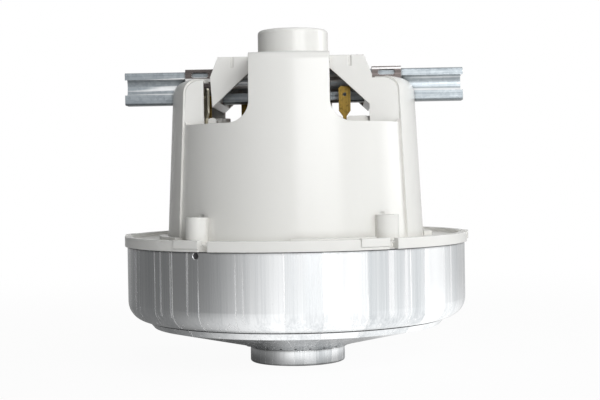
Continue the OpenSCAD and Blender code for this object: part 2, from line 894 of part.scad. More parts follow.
// Two arms over the stator that take its long screws
module stator_arms() {
    arm_w = 2 * stator_screw_d + free_gap;
    both_ends()
        intersection() {
            translate([stator_screw_x, -arm_w / 2, z_insulator_top])
                cube([far, arm_w, arm_h]);
            cylinder(r = side_r(z_arm) - rail_wall / 2, h = far);
        }
    both_ends()
        translate([stator_screw_x, 0, z_insulator_top])
            cylinder(d = arm_w, h = arm_h);
}

// Upright ribs inside the wall that centre the stator
module stator_ribs() {
    rib_w = 3;
    for (turn = [50 : 20 : 130])
        both_ends()
            rotate(turn)
                translate([stator_r + slip, -rib_w / 2, z_stack])
                    cube([front_r(z_stack_top) - body_wall / 3 - stator_r - slip, rib_w, stack_h]);
}

module motor_housing() {
    color(white_plastic)
        difference() {
            union() {
                front_shell();
                side_shell();
                sill_fillets();
                brush_bridge();
                terminal_screens();
                bearing_boss();
                stator_arms();
                stator_ribs();
                at_posts()
                    translate([0, 0, z_foot])
                        cylinder(d = post_d, h = post_h);
            }
            translate([0, 0, z_deck - over])
                cylinder(r = damper_r, h = z_roof - z_deck + over);
            at_posts() {
                translate([0, 0, z_foot - over])
                    cylinder(d = foot_screw_d + 2 * slip, h = post_h + over);
                translate([0, 0, z_foot + post_h - post_sink])
                    cylinder(d = foot_head_d + 4 * slip, h = post_sink + over);
            }
            both_ends() {
                translate([stator_screw_x, 0, z_insulator_top - over])
                    cylinder(d = stator_screw_d, h = z_stator_tip - z_insulator_top + over);
                // The brush tube passes the bridge end and lies in a notch of the side wall
                translate([tube_start_x - over, -tube_w / 2 - slip, tube_bottom - slip])
                    cube([far, tube_w + 2 * slip, tube_h + 2 * slip]);
                translate([clip_x - slip, -tube_w / 2 - clip_sheet - 2 * slip, clip_top - clip_leg_h - 2 * slip])
                    cube([clip_l + 2 * slip, tube_w + 2 * clip_sheet + 4 * slip, far]);
            }
        }
}

// A foot screw with a cross recess in its sunk head
module housing_screws() {
    seat = z_foot + post_h - post_sink;
    tip = z_floor + over / 2;
    recess_w = foot_head_d / 6;
    color(bare_steel)
        at_posts()
            difference() {
                union() {
                    translate([0, 0, tip])
                        cylinder(d = foot_screw_d, h = seat - tip + over / 2);
                    translate([0, 0, seat])
                        cylinder(d = foot_head_d, h = foot_head_h);
                }
                for (turn = [0, 90])
                    rotate(turn)
                        translate([-foot_head_d / 3, -recess_w / 2, seat + foot_head_h / 2])
                            cube([foot_head_d * 2 / 3, recess_w, foot_head_h]);
            }
}

// Fan and diffuser

// One curved strip between two radii, for blades and vanes
module curved_strip_2d(r_in, r_out, curve_r, centre_r, thickness) {
    intersection() {
        translate([centre_r, 0])
            ring_2d(curve_r - thickness / 2, curve_r + thickness / 2);
        ring_2d(r_in, r_out);
        translate([-far, 0])
            square([2 * far, far]);
    }
}

// Draws its children at each of the three diffuser screws, from the disc's lower face
module at_diffuser_screws() {
    for (turn = [0, 120, 240])
        rotate(turn)
            translate([diffuser_screw_r, 0, z_disc])
                children();
}

// Disc with curved vanes that lead the air back to the middle
module diffuser() {
    color(white_plastic)
        difference() {
            union() {
                ring(spacer_d / 2 + free_gap, disc_r, z_disc, z_disc_top);
                for (i = [0 : vane_count - 1])
                    rotate(-360 * i / vane_count)
                        translate([0, 0, z_disc_top - over / 2])
                            mirror([0, 1, 0])
                                linear_extrude(vane_h + over / 2)
                                    curved_strip_2d(vane_inner_r, vane_outer_r, vane_curve_r, vane_centre_r, vane_t);
                at_diffuser_screws()
                    cylinder(d = diffuser_boss_d, h = vane_h + disc_t);
            }
            at_diffuser_screws()
                translate([0, 0, -over]) {
                    cylinder(d = diffuser_screw_d + 2 * slip, h = far);
                    cylinder(d = diffuser_head_d + 4 * slip, h = over + diffuser_head_h);
                }
        }
}

module diffuser_screws() {
    color(bare_steel)
        at_diffuser_screws() {
            cylinder(d = diffuser_head_d, h = diffuser_head_h);
            cylinder(d = diffuser_screw_d, h = disc_t + vane_h + diffuser_screw_grip);
        }
}

module fan_back_plate() {
    color(bright_sheet)
        ring(shaft_r, fan_r, z_back_low, z_back);
}

module fan_front_plate() {
    color(bright_sheet)
        rotate_extrude()
            polygon([
                [eye_r, front_plate_z(eye_r) - fan_sheet],
                [fan_r, front_plate_z(fan_r) - fan_sheet],
                [fan_r, front_plate_z(fan_r)],
                [eye_r, front_plate_z(eye_r)]
            ]);
}

// Backward-curved blades that fill the space between the two fan plates
module fan_blades() {
    inner_r = eye_r + over;
    outer_r = fan_r - over / 2;
    color(bright_sheet)
        for (i = [0 : blade_count - 1])
            rotate(360 * i / blade_count)
                intersection() {
                    linear_extrude(z_back_low)
                        curved_strip_2d(inner_r, outer_r, blade_curve_r, blade_centre_r, blade_t);
                    rotate_extrude()
                        polygon([
                            [inner_r - over, front_plate_z(inner_r - over)],
                            [outer_r + over / 4, front_plate_z(outer_r + over / 4)],
                            [outer_r + over / 4, z_back_low],
                            [inner_r - over, z_back_low]
                        ]);
                }
}

module fan_spacer() {
    color(bare_steel)
        ring(shaft_r, spacer_d / 2, z_back, z_low_bearing);
}

module fan_washer() {
    color(bare_steel)
        ring(shaft_r, washer_d / 2, z_back_low - washer_t, z_back_low);
}

module fan_nut() {
    color(bare_steel)
        translate([0, 0, z_nut])
            difference() {
                cylinder(d = nut_af / cos(30), h = nut_h, $fn = 6);
                translate([0, 0, -over])
                    cylinder(r = shaft_r, h = nut_h + 2 * over);
            }
}

// Shaft and bearings

module shaft() {
    chamfer = 0.6;
    top = z_up_bearing_top + free_gap / 2;
    color(bare_steel)
        rotate_extrude()
            polygon([
                [0, z_shaft_low],
                [shaft_r - chamfer, z_shaft_low],
                [shaft_r, z_shaft_low + chamfer],
                [shaft_r, top - chamfer],
                [shaft_r - chamfer, top],
                [0, top]
            ]);
}

// Groove that the balls of a bearing run in
module race_2d() {
    translate([race_r, bearing_w / 2])
        circle(ball_r + ball_slip);
}

module outer_ring(z) {
    color(bare_steel)
        translate([0, 0, z])
            rotate_extrude()
                difference() {
                    translate([bearing_r - ring_t, 0])
                        square([ring_t, bearing_w]);
                    race_2d();
                }
}

module inner_ring(z) {
    color(bare_steel)
        translate([0, 0, z])
            rotate_extrude()
                difference() {
                    translate([shaft_r, 0])
                        square([ring_t, bearing_w]);
                    race_2d();
                }
}

module balls(z) {
    color(bare_steel)
        for (i = [0 : ball_count - 1])
            rotate(360 * i / ball_count)
                translate([race_r, 0, z + bearing_w / 2])
                    sphere(ball_r);
}

module shields(z) {
    inner_r = shaft_r + ring_t + 3 * slip;
    color(bare_steel)
        for (level = [shield_t, bearing_w - 2 * shield_t])
            ring(inner_r, bearing_r - ring_t, z + level, z + level + shield_t);
}

module lower_outer_ring() { outer_ring(z_low_bearing); }
module lower_inner_ring() { inner_ring(z_low_bearing); }
module lower_balls() { balls(z_low_bearing); }
module lower_shields() { shields(z_low_bearing); }
module upper_outer_ring() { outer_ring(z_up_bearing); }
module upper_inner_ring() { inner_ring(z_up_bearing); }
module upper_balls() { balls(z_up_bearing); }
module upper_shields() { shields(z_up_bearing); }

module bearing_damper() {
    color(rubber)
        ring(bearing_r, damper_r, z_up_bearing, z_up_bearing_top);
}

// Cone-shaped spring washer between the upper bearing and the roof of its boss
module preload_washer() {
    washer_sheet = 0.5;
    inner_r = bearing_r - ring_t;
    outer_r = bearing_r - slip;
    color(bare_steel)
        rotate_extrude()
            polygon([
                [outer_r, z_up_bearing_top],
                [outer_r, z_up_bearing_top + washer_sheet],
                [inner_r, z_roof],
                [inner_r, z_roof - washer_sheet]
            ]);
}

// Stator

module stator_outline_2d() {
    intersection() {
        circle(stator_r);
        square([2 * stator_flat_x, 4 * stator_r], center = true);
    }
}

module stator_holes_2d() {
    for (side = [-1, 1])
        translate([side * stator_screw_x, 0])
            circle(d = stator_screw_d + 2 * slip);
}

module stator_core() {
    color(iron)
        translate([0, 0, z_stack])
            linear_extrude(stack_h)
                difference() {
                    stator_outline_2d();
                    difference() {
                        round_box(cavity_w, cavity_depth, cavity_r);
                        square([pole_w, 4 * stator_r], center = true);
                        for (turn = [90, 270])
                            rotate(turn)
                                intersection() {
                                    ring_2d(stator_bore_r, stator_bore_r + shoe_t);
                                    wedge_2d(shoe_half_angle);
                                }
                    }
                    circle(stator_bore_r);
                    stator_holes_2d();
                }
}

module stator_screws() {
    head_h = 0.75 * stator_screw_d;
    head_d = 1.8 * stator_screw_d;
    low = z_stack - insulator_t;
    color(bare_steel)
        both_ends()
            translate([stator_screw_x, 0, 0]) {
                translate([0, 0, low - head_h])
                    cylinder(d = head_d, h = head_h);
                translate([0, 0, low - over])
                    cylinder(d = stator_screw_d, h = z_stator_tip - low + over);
            }
}

module insulator_plate_2d() {
    difference() {
        stator_outline_2d();
        round_box(cavity_w, cavity_depth, cavity_r);
        stator_holes_2d();
    }
}

// One lug of a terminal pocket, with round upper corners
module pocket_lug(x_low, x_high) {
    w = x_high - x_low;
    h = z_pocket - z_stack_top;
    upright(-pocket_depth / 2, pocket_depth / 2)
        translate([(x_low + x_high) / 2, z_stack_top])
            intersection() {
                round_box(w, 2 * h, min(pocket_r, w / 2 - slip));
                translate([-w / 2, 0])
                    square([w, h]);
            }
}

// A floor with two lugs that hold the stem of a terminal tab between them
module terminal_pocket(left_w, right_w) {
    gap = tab_stem_w / 2 + slip;
    pocket_lug(-gap - left_w, -gap);
    pocket_lug(gap, gap + right_w);
    translate([-gap - left_w, -pocket_depth / 2, z_stack_top])
        cube([left_w + 2 * gap + right_w, pocket_depth, insulator_t]);
}

// Places a shape at a mains tab or at a brush tab
module at_mains_tab() {
    translate([mains_tab_x, -tab_y, 0])
        children();
}

module at_brush_tab() {
    translate([-brush_tab_x, -tab_y, 0])
        children();
}

// Upper insulator with a pocket for each terminal tab
module upper_insulator() {
    coil_edge = pole_w / 2 + coil_t + 3 * slip;
    brush_pocket_left_w = 1.8;
    brush_pocket_right_w = 3.4;
    color(white_plastic) {
        translate([0, 0, z_stack_top])
            linear_extrude(insulator_t)
                insulator_plate_2d();
        both_ends() {
            at_mains_tab()
                terminal_pocket(mains_tab_x - tab_stem_w / 2 - slip - coil_edge,
                                gusset_tip_x - over - mains_tab_x - tab_stem_w / 2);
            at_brush_tab()
                terminal_pocket(brush_pocket_left_w, brush_pocket_right_w);
        }
    }
}

module lower_insulator() {
    color(white_plastic)
        translate([0, 0, z_stack - insulator_t])
            linear_extrude(insulator_t)
                insulator_plate_2d();
}

// Plan of the coil cavity less a clearance for the coils
module coil_room_2d() {
    clearance = 3 * slip;
    round_box(cavity_w - 2 * clearance, cavity_depth - 2 * clearance, cavity_r - clearance);
}

// A field coil wound round one pole, inside the coil cavity
module field_coil() {
    color(copper)
        intersection() {
            upright(-coil_back_y, -coil_front_y)
                translate([0, z_stack + stack_h / 2])
                    difference() {
                        round_box(pole_w + 2 * coil_t, stack_h + 2 * coil_t, coil_t * 0.8);
                        square([pole_w, stack_h], center = true);
                    }
            translate([0, 0, z_stack - coil_t - over])
                linear_extrude(stack_h + 2 * coil_t + 2 * over)
                    coil_room_2d();
        }
}

module field_coil_front() { field_coil(); }
module field_coil_rear() { rotate(180) field_coil(); }

// Terminals

// A flat tab with a latch hole and a narrow stem that stands in its pocket
module terminal_tab() {
    full_z = z_pocket + tab_shoulder_h;
    top_z = z_pocket + tab_h;
    color(brass)
        upright(-tab_t / 2, tab_t / 2)
            difference() {
                polygon([
                    [-tab_stem_w / 2, z_insulator_top],
                    [tab_stem_w / 2, z_insulator_top],
                    [tab_stem_w / 2, z_pocket],
                    [tab_w / 2, full_z],
                    [tab_w / 2, top_z - tab_t],
                    [tab_w / 2 - tab_t, top_z],
                    [tab_t - tab_w / 2, top_z],
                    [-tab_w / 2, top_z - tab_t],
                    [-tab_w / 2, full_z],
                    [-tab_stem_w / 2, z_pocket]
                ]);
                translate([0, top_z - tab_w * 0.7])
                    circle(d = tab_hole_d);
            }
}

module mains_tab() {
    at_mains_tab()
        terminal_tab();
}

module brush_tab() {
    at_brush_tab()
        rotate(-brush_tab_turn)
            terminal_tab();
}

module mains_tab_front() { mains_tab(); }
module mains_tab_rear() { rotate(180) mains_tab(); }
module brush_tab_left() { brush_tab(); }
module brush_tab_right() { rotate(180) brush_tab(); }

// Strip from the stem of a brush tab, through its pocket, to the side of its brush tube
module brush_link() {
    level = z_insulator_top + pocket_h / 2;
    x_low = -brush_tab_x - link_w / 2;
    y_low = -tab_y + tab_stem_w * 0.6;
    y_tube = -tube_w / 2;
    z_top = clip_top - clip_leg_h - slip;
    color(brass) {
        translate([x_low, y_low, level])
            cube([link_w, y_tube - y_low, link_t]);
        translate([x_low, y_tube - link_t, level])
            cube([link_w, link_t, z_top - level]);
    }
}

module brush_link_left() { brush_link(); }
module brush_link_right() { rotate(180) brush_link(); }

// Brush gear

// Section of a brush tube: a box with a hollow pressed along each side
module tube_2d(inset) {
    translate([0, z_brush])
        difference() {
            round_box(tube_w - 2 * inset, tube_h - 2 * inset, tube_corner_r - inset / 2);
            for (side = [-1, 1])
                translate([side * hollow_centre, tube_hollow_up])
                    circle(hollow_r + inset);
        }
}

module brush_tube() {
    color(plated_steel)
        difference() {
            lengthwise(tube_start_x, tube_end_x)
                difference() {
                    tube_2d(0);
                    tube_2d(tube_sheet);
                }
            for (side = [-1, 1])
                translate([tube_end_x - tube_cut_back, side * tube_w / 2 - tube_w / 4,
                           z_brush + tube_hollow_up - tube_hollow_h / 2])
                    cube([2 * tube_cut_back, tube_w / 2, tube_hollow_h]);
        }
}

module brush_tube_right() { brush_tube(); }
module brush_tube_left() { rotate(180) brush_tube(); }

// Plate that closes the outer end of a brush tube and backs the spring
module tube_plate() {
    color(plated_steel)
        lengthwise(tube_plate_x, tube_plate_x + tube_plate_t)
            tube_2d(tube_sheet);
}

module tube_plate_right() { tube_plate(); }
module tube_plate_left() { rotate(180) tube_plate(); }

// Saddle clip over a brush tube, with an oval hole in each leg
module tube_clip() {
    half_w = tube_w / 2 + clip_sheet;
    hole_z = clip_top - clip_sheet - clip_hole_h / 2 - clip_sheet / 2;
    color(plated_steel)
        difference() {
            translate([clip_x, -half_w, clip_top - clip_leg_h])
                cube([clip_l, 2 * half_w, clip_leg_h]);
            translate([clip_x - over, -tube_w / 2, clip_top - clip_leg_h - over])
                cube([clip_l + 2 * over, tube_w, clip_leg_h + over - clip_sheet]);
            upright(-far, far)
                translate([clip_x + clip_l / 2, hole_z])
                    round_box(clip_hole_l, clip_hole_h, clip_hole_h / 2 - slip / 2);
        }
}

module tube_clip_right() { tube_clip(); }
module tube_clip_left() { rotate(180) tube_clip(); }

// Carbon brush with its face hollowed to the commutator
module brush() {
    color(carbon)
        difference() {
            translate([commutator_r / 2, -brush_t / 2, z_brush - brush_h / 2])
                cube([brush_back_x - commutator_r / 2, brush_t, brush_h]);
            cylinder(r = commutator_r + brush_gap, h = far);
        }
}

module brush_right() { brush(); }
module brush_left() { rotate(180) brush(); }

// Brush spring: one unbroken wire from the carbon to the end plate
spring_mean_r = (spring_d - spring_wire_d) / 2;
spring_low = brush_back_x + spring_wire_d / 2 + slip / 2;
spring_high = tube_plate_x - spring_wire_d / 2 - slip / 2;
spring_steps_per_curl = 12;
function spring_point(t) =
    let (a = 360 * spring_curls * t)
    [spring_low + (spring_high - spring_low) * t, spring_mean_r * cos(a), z_brush + spring_mean_r * sin(a)];

module brush_spring() {
    steps = spring_curls * spring_steps_per_curl;
    color(bare_steel)
        skin([for (i = [0 : steps])
            let (t = i / steps,
                 a = 360 * spring_curls * t,
                 out = [0, cos(a), sin(a)],
                 way = unit([(spring_high - spring_low) / (2 * PI * spring_curls),
                             -spring_mean_r * sin(a), spring_mean_r * cos(a)]))
            ring_points(spring_point(t), out, cross(way, out), spring_wire_d / 2, 6)]);
}

module brush_spring_right() { brush_spring(); }
module brush_spring_left() { rotate(180) brush_spring(); }

// Least gap between neighbouring curls, measured on points one curl apart
spring_gap = min([for (i = [0 : spring_steps_per_curl])
    let (t = i / spring_steps_per_curl / spring_curls)
    norm(spring_point(t + 1 / spring_curls) - spring_point(t))]) - spring_wire_d;
echo(spring_gap_mm = spring_gap);

// Braid inside the spring that carries the current to the carbon, lying in a slack wave
module brush_braid() {
    steps = 32;
    waves = 2;
    swing = (spring_d / 2 - spring_wire_d - braid_d / 2) * 0.6;
    span = tube_plate_x - brush_back_x;
    color(copper)
        skin([for (i = [0 : steps])
            let (t = i / steps)
            ring_points([brush_back_x + span * t, 0, z_brush + swing * sin(360 * waves * t)],
                        [0, 0, 1], [0, -1, 0], braid_d / 2, 8)]);
}

module brush_braid_right() { brush_braid(); }
module brush_braid_left() { rotate(180) brush_braid(); }

// Armature and commutator

module slotted_disc_2d() {
    difference() {
        circle(armature_r);
        circle(shaft_r);
        for (i = [0 : slot_count - 1])
            rotate(360 * i / slot_count)
                translate([slot_r, 0]) {
                    circle(d = slot_d);
                    translate([0, -slot_opening / 2])
                        square([armature_r, slot_opening]);
                }
    }
}

module armature_core() {
    color(iron)
        translate([0, 0, z_stack])
            linear_extrude(stack_h)
                slotted_disc_2d();
}

// Insulating discs on both ends of the armature core
module armature_discs() {
    color(dark_resin)
        for (level = [z_stack - armature_disc_t, z_stack_top])
            translate([0, 0, level])
                linear_extrude(armature_disc_t)
                    slotted_disc_2d();
}

// Copper in the slots, joined by the rounded winding heads above and below
module armature_winding() {
    head_in = 2 * shaft_r;
    head_out = armature_r - slot_opening;
    head_round = winding_head_h / 3;
    color(copper) {
        for (low = [z_head_low, z_stack_top + armature_disc_t])
            rotate_extrude()
                translate([(head_in + head_out) / 2, low + winding_head_h / 2])
                    round_box(head_out - head_in, winding_head_h, head_round);
        for (i = [0 : slot_count - 1])
            rotate(360 * i / slot_count)
                translate([slot_r, 0, z_head_low + winding_head_h / 2])
                    cylinder(d = slot_d - 6 * slip, h = z_head_top - z_head_low - winding_head_h);
    }
}

module commutator_hub() {
    color(dark_resin)
        ring(shaft_r, commutator_hub_r, z_head_top, z_bars_top);
}

// Separate copper bars, each with a wire hook at its foot
module commutator_bars() {
    color(copper)
        difference() {
            rotate_extrude()
                translate([commutator_hub_r, z_riser]) {
                    square([bar_depth + riser_out, riser_h]);
                    square([bar_depth, z_bars_top - z_riser]);
                }
            for (i = [0 : bar_count - 1])
                rotate(360 * i / bar_count)
                    translate([0, -bar_gap / 2, z_riser - over])
                        cube([far, bar_gap, z_bars_top - z_riser + 2 * over]);
        }
}

motor_housing();
bearing_bracket();
fan_cover();
inlet_collar();
diffuser();
diffuser_screws();
housing_screws();
stator_core();
stator_screws();
upper_insulator();
lower_insulator();
field_coil_front();
field_coil_rear();
brush_tube_left();
brush_tube_right();
tube_clip_left();
tube_clip_right();
tube_plate_left();
tube_plate_right();
brush_spring_left();
brush_spring_right();
brush_braid_left();
brush_braid_right();
mains_tab_front();
mains_tab_rear();
brush_tab_left();
brush_tab_right();
brush_link_left();
brush_link_right();
lower_outer_ring();
lower_shields();
upper_outer_ring();
upper_shields();
bearing_damper();
preload_washer();
shaft();
armature_core();
armature_discs();
armature_winding();
commutator_bars();
commutator_hub();
lower_inner_ring();
upper_inner_ring();
fan_spacer();
fan_back_plate();
fan_front_plate();
fan_blades();
fan_washer();
fan_nut();
lower_balls();
upper_balls();
brush_left();
brush_right();
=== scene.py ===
"""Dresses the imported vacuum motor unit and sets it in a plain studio.

The CAD nodes keep their shapes and get their finishes here. The wound, coiled and braided pieces are built
again in full, and the camera stands at the photograph's viewing angle. Lengths are in metres, in the frame of
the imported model: the shaft stands along +Z, the brush tubes lie along X and z = 0 is the rim of the inlet.
"""
import logging
import math
import random
from collections.abc import Sequence
from dataclasses import dataclass, field
from enum import Enum

import bpy
from mathutils import Matrix, Vector


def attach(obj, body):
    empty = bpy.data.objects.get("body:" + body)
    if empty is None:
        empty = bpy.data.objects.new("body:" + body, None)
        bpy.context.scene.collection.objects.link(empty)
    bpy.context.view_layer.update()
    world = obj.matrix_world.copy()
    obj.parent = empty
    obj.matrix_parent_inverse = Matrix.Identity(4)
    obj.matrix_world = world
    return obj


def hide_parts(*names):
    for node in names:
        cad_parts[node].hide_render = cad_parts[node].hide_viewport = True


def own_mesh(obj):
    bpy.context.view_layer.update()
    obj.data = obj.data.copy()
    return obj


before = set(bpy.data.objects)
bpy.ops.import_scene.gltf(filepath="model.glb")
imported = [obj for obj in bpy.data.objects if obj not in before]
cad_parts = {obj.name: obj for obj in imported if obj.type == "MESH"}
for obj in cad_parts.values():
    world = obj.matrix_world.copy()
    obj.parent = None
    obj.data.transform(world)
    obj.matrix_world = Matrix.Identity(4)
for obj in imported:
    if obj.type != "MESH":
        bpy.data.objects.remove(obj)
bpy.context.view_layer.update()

log = logging.getLogger("vacuum_motor")

MM = 0.001
Colour = tuple[float, float, float]
Point = tuple[float, float, float]
Feed = float | tuple[float, ...] | bpy.types.NodeSocket


class Body(Enum):
    """The CAD bodies that new pieces ride on."""

    FRAME = "frame"
    ROTOR = "rotor"


class Side(Enum):
    """The two brush tubes, with the sign of their X."""

    LEFT = -1
    RIGHT = 1

    @property
    def word(self) -> str:
        """The side's name in the node names."""
        return self.name.lower()


class Effect(Enum):
    """The surface effects that several finishes share."""

    EDGE = "edge_rounding"
    GRAIN = "fine_grain"
    DUST = "settled_dust"
    STREAKS = "drawn_streaks"
    FACETS = "ironed_facets"
    SPECKLE = "stain_speckle"


class Marks(Enum):
    """The way that the working marks of a metal run, as the stretch of its X, Y and Z."""

    UPRIGHT = (1.0, 1.0, 0.012)
    ALONG_X = (0.02, 1.0, 1.0)
    TURNED = (0.03, 0.03, 1.0)
    ROLLED = (1.0, 0.1, 1.0)


class Board:
    """A node tree with short calls that add, fill and link its nodes."""

    def __init__(self, tree: bpy.types.NodeTree) -> None:
        """Keeps the tree that the calls work on."""
        self.tree = tree

    def add(self, kind: str, feeds: dict[str | int, Feed] | None = None, **options: object) -> bpy.types.Node:
        """Adds a node.

        Args:
            kind: The node's type, without its ShaderNode prefix.
            feeds: What goes into its inputs, by name or number.
            **options: Settings of the node itself.

        Returns:
            The new node.
        """
        node = self.tree.nodes.new(f"ShaderNode{kind}")
        for option, value in options.items():
            setattr(node, option, value)
        for name, value in (feeds or {}).items():
            self.feed(node.inputs[name], value)
        return node

    def feed(self, socket: bpy.types.NodeSocket, value: Feed) -> None:
        """Links another socket to this one, or sets its plain value.

        Args:
            socket: The input that is fed.
            value: What goes into it.
        """
        if isinstance(value, bpy.types.NodeSocket):
            self.tree.links.new(value, socket)
        elif socket.type == "RGBA":
            socket.default_value = (*value, 1.0)
        else:
            socket.default_value = value

    def maths(self, operation: str, *values: Feed, clamp: bool = False) -> bpy.types.NodeSocket:
        """Works out one number from others."""
        feeds = dict(enumerate(values))
        return self.add("Math", feeds, operation=operation, use_clamp=clamp).outputs[0]

    def spread(self, value: Feed, low: float, high: float) -> bpy.types.NodeSocket:
        """Maps a value from 0..1 to another range."""
        return self.add("MapRange", {"Value": value, "To Min": low, "To Max": high}).outputs["Result"]

    def above(self, value: Feed, low: float, high: float) -> bpy.types.NodeSocket:
        """Gives 0 below a low value, 1 above a high one and a soft step between."""
        feeds = {"Value": value, "From Min": low, "From Max": high}
        return self.add("MapRange", feeds, interpolation_type="SMOOTHSTEP").outputs["Result"]

    def mix(self, factor: Feed, first: Feed, second: Feed) -> bpy.types.NodeSocket:
        """Mixes two colours.

        Args:
            factor: Share of the second colour.
            first: The first colour.
            second: The second colour.

        Returns:
            The mixed colour.
        """
        node = self.add("Mix", data_type="RGBA")
        first_colour, second_colour = (s for s in node.inputs if s.type == "RGBA")
        self.feed(node.inputs["Factor"], factor)
        self.feed(first_colour, first)
        self.feed(second_colour, second)
        return next(s for s in node.outputs if s.type == "RGBA")

    def place(self, stretch: Point = (1.0, 1.0, 1.0)) -> bpy.types.NodeSocket:
        """Gives the place on the piece in metres, stretched along the axes."""
        found = self.add("TexCoord").outputs["Object"]
        return self.add("VectorMath", {0: found, 1: stretch}, operation="MULTIPLY").outputs[0]

    def noise(self, place: Feed, scale: Feed, detail: float = 2.0) -> bpy.types.NodeSocket:
        """Adds a soft noise and gives its value."""
        return self.add("TexNoise", {"Vector": place, "Scale": scale, "Detail": detail}).outputs[0]


class EffectShelf:
    """Builds each shared effect once, as a shader node group."""

    def __init__(self) -> None:
        """Starts with an empty shelf."""
        self._trees: dict[Effect, bpy.types.NodeTree] = {}

    def tree(self, effect: Effect) -> bpy.types.NodeTree:
        """Gives an effect's node group.

        Args:
            effect: The effect that is wanted.

        Returns:
            Its node group, built at the first call.
        """
        if effect not in self._trees:
            makers = {
                Effect.EDGE: self._edge,
                Effect.GRAIN: self._grain,
                Effect.DUST: self._dust,
                Effect.STREAKS: self._streaks,
                Effect.FACETS: self._facets,
                Effect.SPECKLE: self._speckle,
            }
            self._trees[effect] = makers[effect](effect.value)
        return self._trees[effect]

    def put(self, board: Board, effect: Effect, feeds: dict[str, Feed]) -> bpy.types.Node:
        """Places an effect in a material with its own values.

        Args:
            board: The material's tree.
            effect: The effect that is placed.
            feeds: What goes into its inputs.

        Returns:
            The node that stands for the effect.
        """
        node = board.add("Group", node_tree=self.tree(effect))
        for name, value in feeds.items():
            board.feed(node.inputs[name], value)
        return node

    @staticmethod
    def _group(
        name: str, inputs: dict[str, str], outputs: dict[str, str]
    ) -> tuple[Board, bpy.types.Node, bpy.types.Node]:
        """Starts a node group.

        Args:
            name: The group's name.
            inputs: The kind of each named input.
            outputs: The kind of each named output.

        Returns:
            The group's board, its input node and its output node.
        """
        tree = bpy.data.node_groups.new(name, "ShaderNodeTree")
        for direction, sockets in (("INPUT", inputs), ("OUTPUT", outputs)):
            for socket, kind in sockets.items():
                tree.interface.new_socket(socket, in_out=direction, socket_type=f"NodeSocket{kind}")
        return Board(tree), tree.nodes.new("NodeGroupInput"), tree.nodes.new("NodeGroupOutput")

    def _edge(self, name: str) -> bpy.types.NodeTree:
        """Rounds sharp edges in the light, and finds them so that they can be lightened, as rubbed metal and
        as painted highlight.

        Args:
            name: The group's name.

        Returns:
            The node group.
        """
        inputs = {"Radius": "Float", "Gain": "Float", "Scale": "Float"}
        board, start, end = self._group(name, inputs, {"Normal": "Vector", "Wear": "Float"})
        rounded = board.add("Bevel", {"Radius": start.outputs["Radius"]}, samples=4).outputs[0]
        flat = board.add("NewGeometry").outputs["Normal"]
        along = board.add("VectorMath", {0: rounded, 1: flat}, operation="DOT_PRODUCT").outputs["Value"]
        turn = board.maths("MULTIPLY", board.maths("SUBTRACT", 1.0, along), start.outputs["Gain"])
        broken = board.spread(board.noise(board.place(), start.outputs["Scale"], 3.0), 0.2, 1.0)
        board.feed(end.inputs["Normal"], rounded)
        board.feed(end.inputs["Wear"], board.maths("MULTIPLY", turn, broken, clamp=True))
        return board.tree

    def _grain(self, name: str) -> bpy.types.NodeTree:
        """Makes a fine moulded or blasted grain, with a broad change of tone over it.

        Args:
            name: The group's name.

        Returns:
            The node group.
        """
        board, start, end = self._group(name, {"Scale": "Float"}, {"Tone": "Float", "Height": "Float"})
        place = board.place()
        fine = board.noise(place, start.outputs["Scale"], 3.0)
        broad = board.noise(place, board.maths("MULTIPLY", start.outputs["Scale"], 0.03), 2.0)
        tone = board.maths("MULTIPLY_ADD", fine, 0.35, board.maths("MULTIPLY", broad, 0.65))
        board.feed(end.inputs["Tone"], tone)
        board.feed(end.inputs["Height"], fine)
        return board.tree

    def _dust(self, name: str) -> bpy.types.NodeTree:
        """Finds where dust lies on upward faces and where painted shade darkens the recesses.

        Args:
            name: The group's name.

        Returns:
            The node group.
        """
        inputs = {"Settled": "Float", "Recess": "Float", "Reach": "Float"}
        board, start, end = self._group(name, inputs, {"Mask": "Float"})
        up = board.add("SeparateXYZ", {0: board.add("NewGeometry").outputs["Normal"]}).outputs["Z"]
        patchy = board.spread(board.noise(board.place(), 220.0, 4.0), 0.2, 1.0)
        lying = board.maths("MULTIPLY", board.above(up, 0.5, 1.0), start.outputs["Settled"])
        feeds = {"Distance": start.outputs["Reach"]}
        open_share = board.add("AmbientOcclusion", feeds, samples=8).outputs["AO"]
        # Painted shade: the more closed in a place is, the darker it is painted.
        shut = board.above(board.maths("SUBTRACT", 1.0, open_share), 0.1, 0.4)
        both = board.maths("MULTIPLY_ADD", shut, start.outputs["Recess"], lying)
        board.feed(end.inputs["Mask"], board.maths("MULTIPLY", both, patchy, clamp=True))
        return board.tree

    def _streaks(self, name: str) -> bpy.types.NodeTree:
        """Makes the long marks left by drawing, turning or rolling a metal.

        Args:
            name: The group's name.

        Returns:
            The node group.
        """
        inputs = {"Place": "Vector", "Scale": "Float"}
        outputs = {"Tone": "Float", "Height": "Float", "Scratch": "Float"}
        board, start, end = self._group(name, inputs, outputs)
        place = start.outputs["Place"]
        scale = start.outputs["Scale"]
        fine = board.above(board.noise(place, scale, 3.0), 0.3, 0.7)
        broad = board.above(board.noise(place, board.maths("MULTIPLY", scale, 0.12), 2.0), 0.3, 0.7)
        line = board.noise(place, board.maths("MULTIPLY", scale, 0.45), 0.0)
        tone = board.maths("MULTIPLY_ADD", fine, 0.45, board.maths("MULTIPLY", broad, 0.55))
        board.feed(end.inputs["Tone"], tone)
        board.feed(end.inputs["Height"], fine)
        board.feed(end.inputs["Scratch"], board.above(line, 0.66, 0.74))
        return board.tree

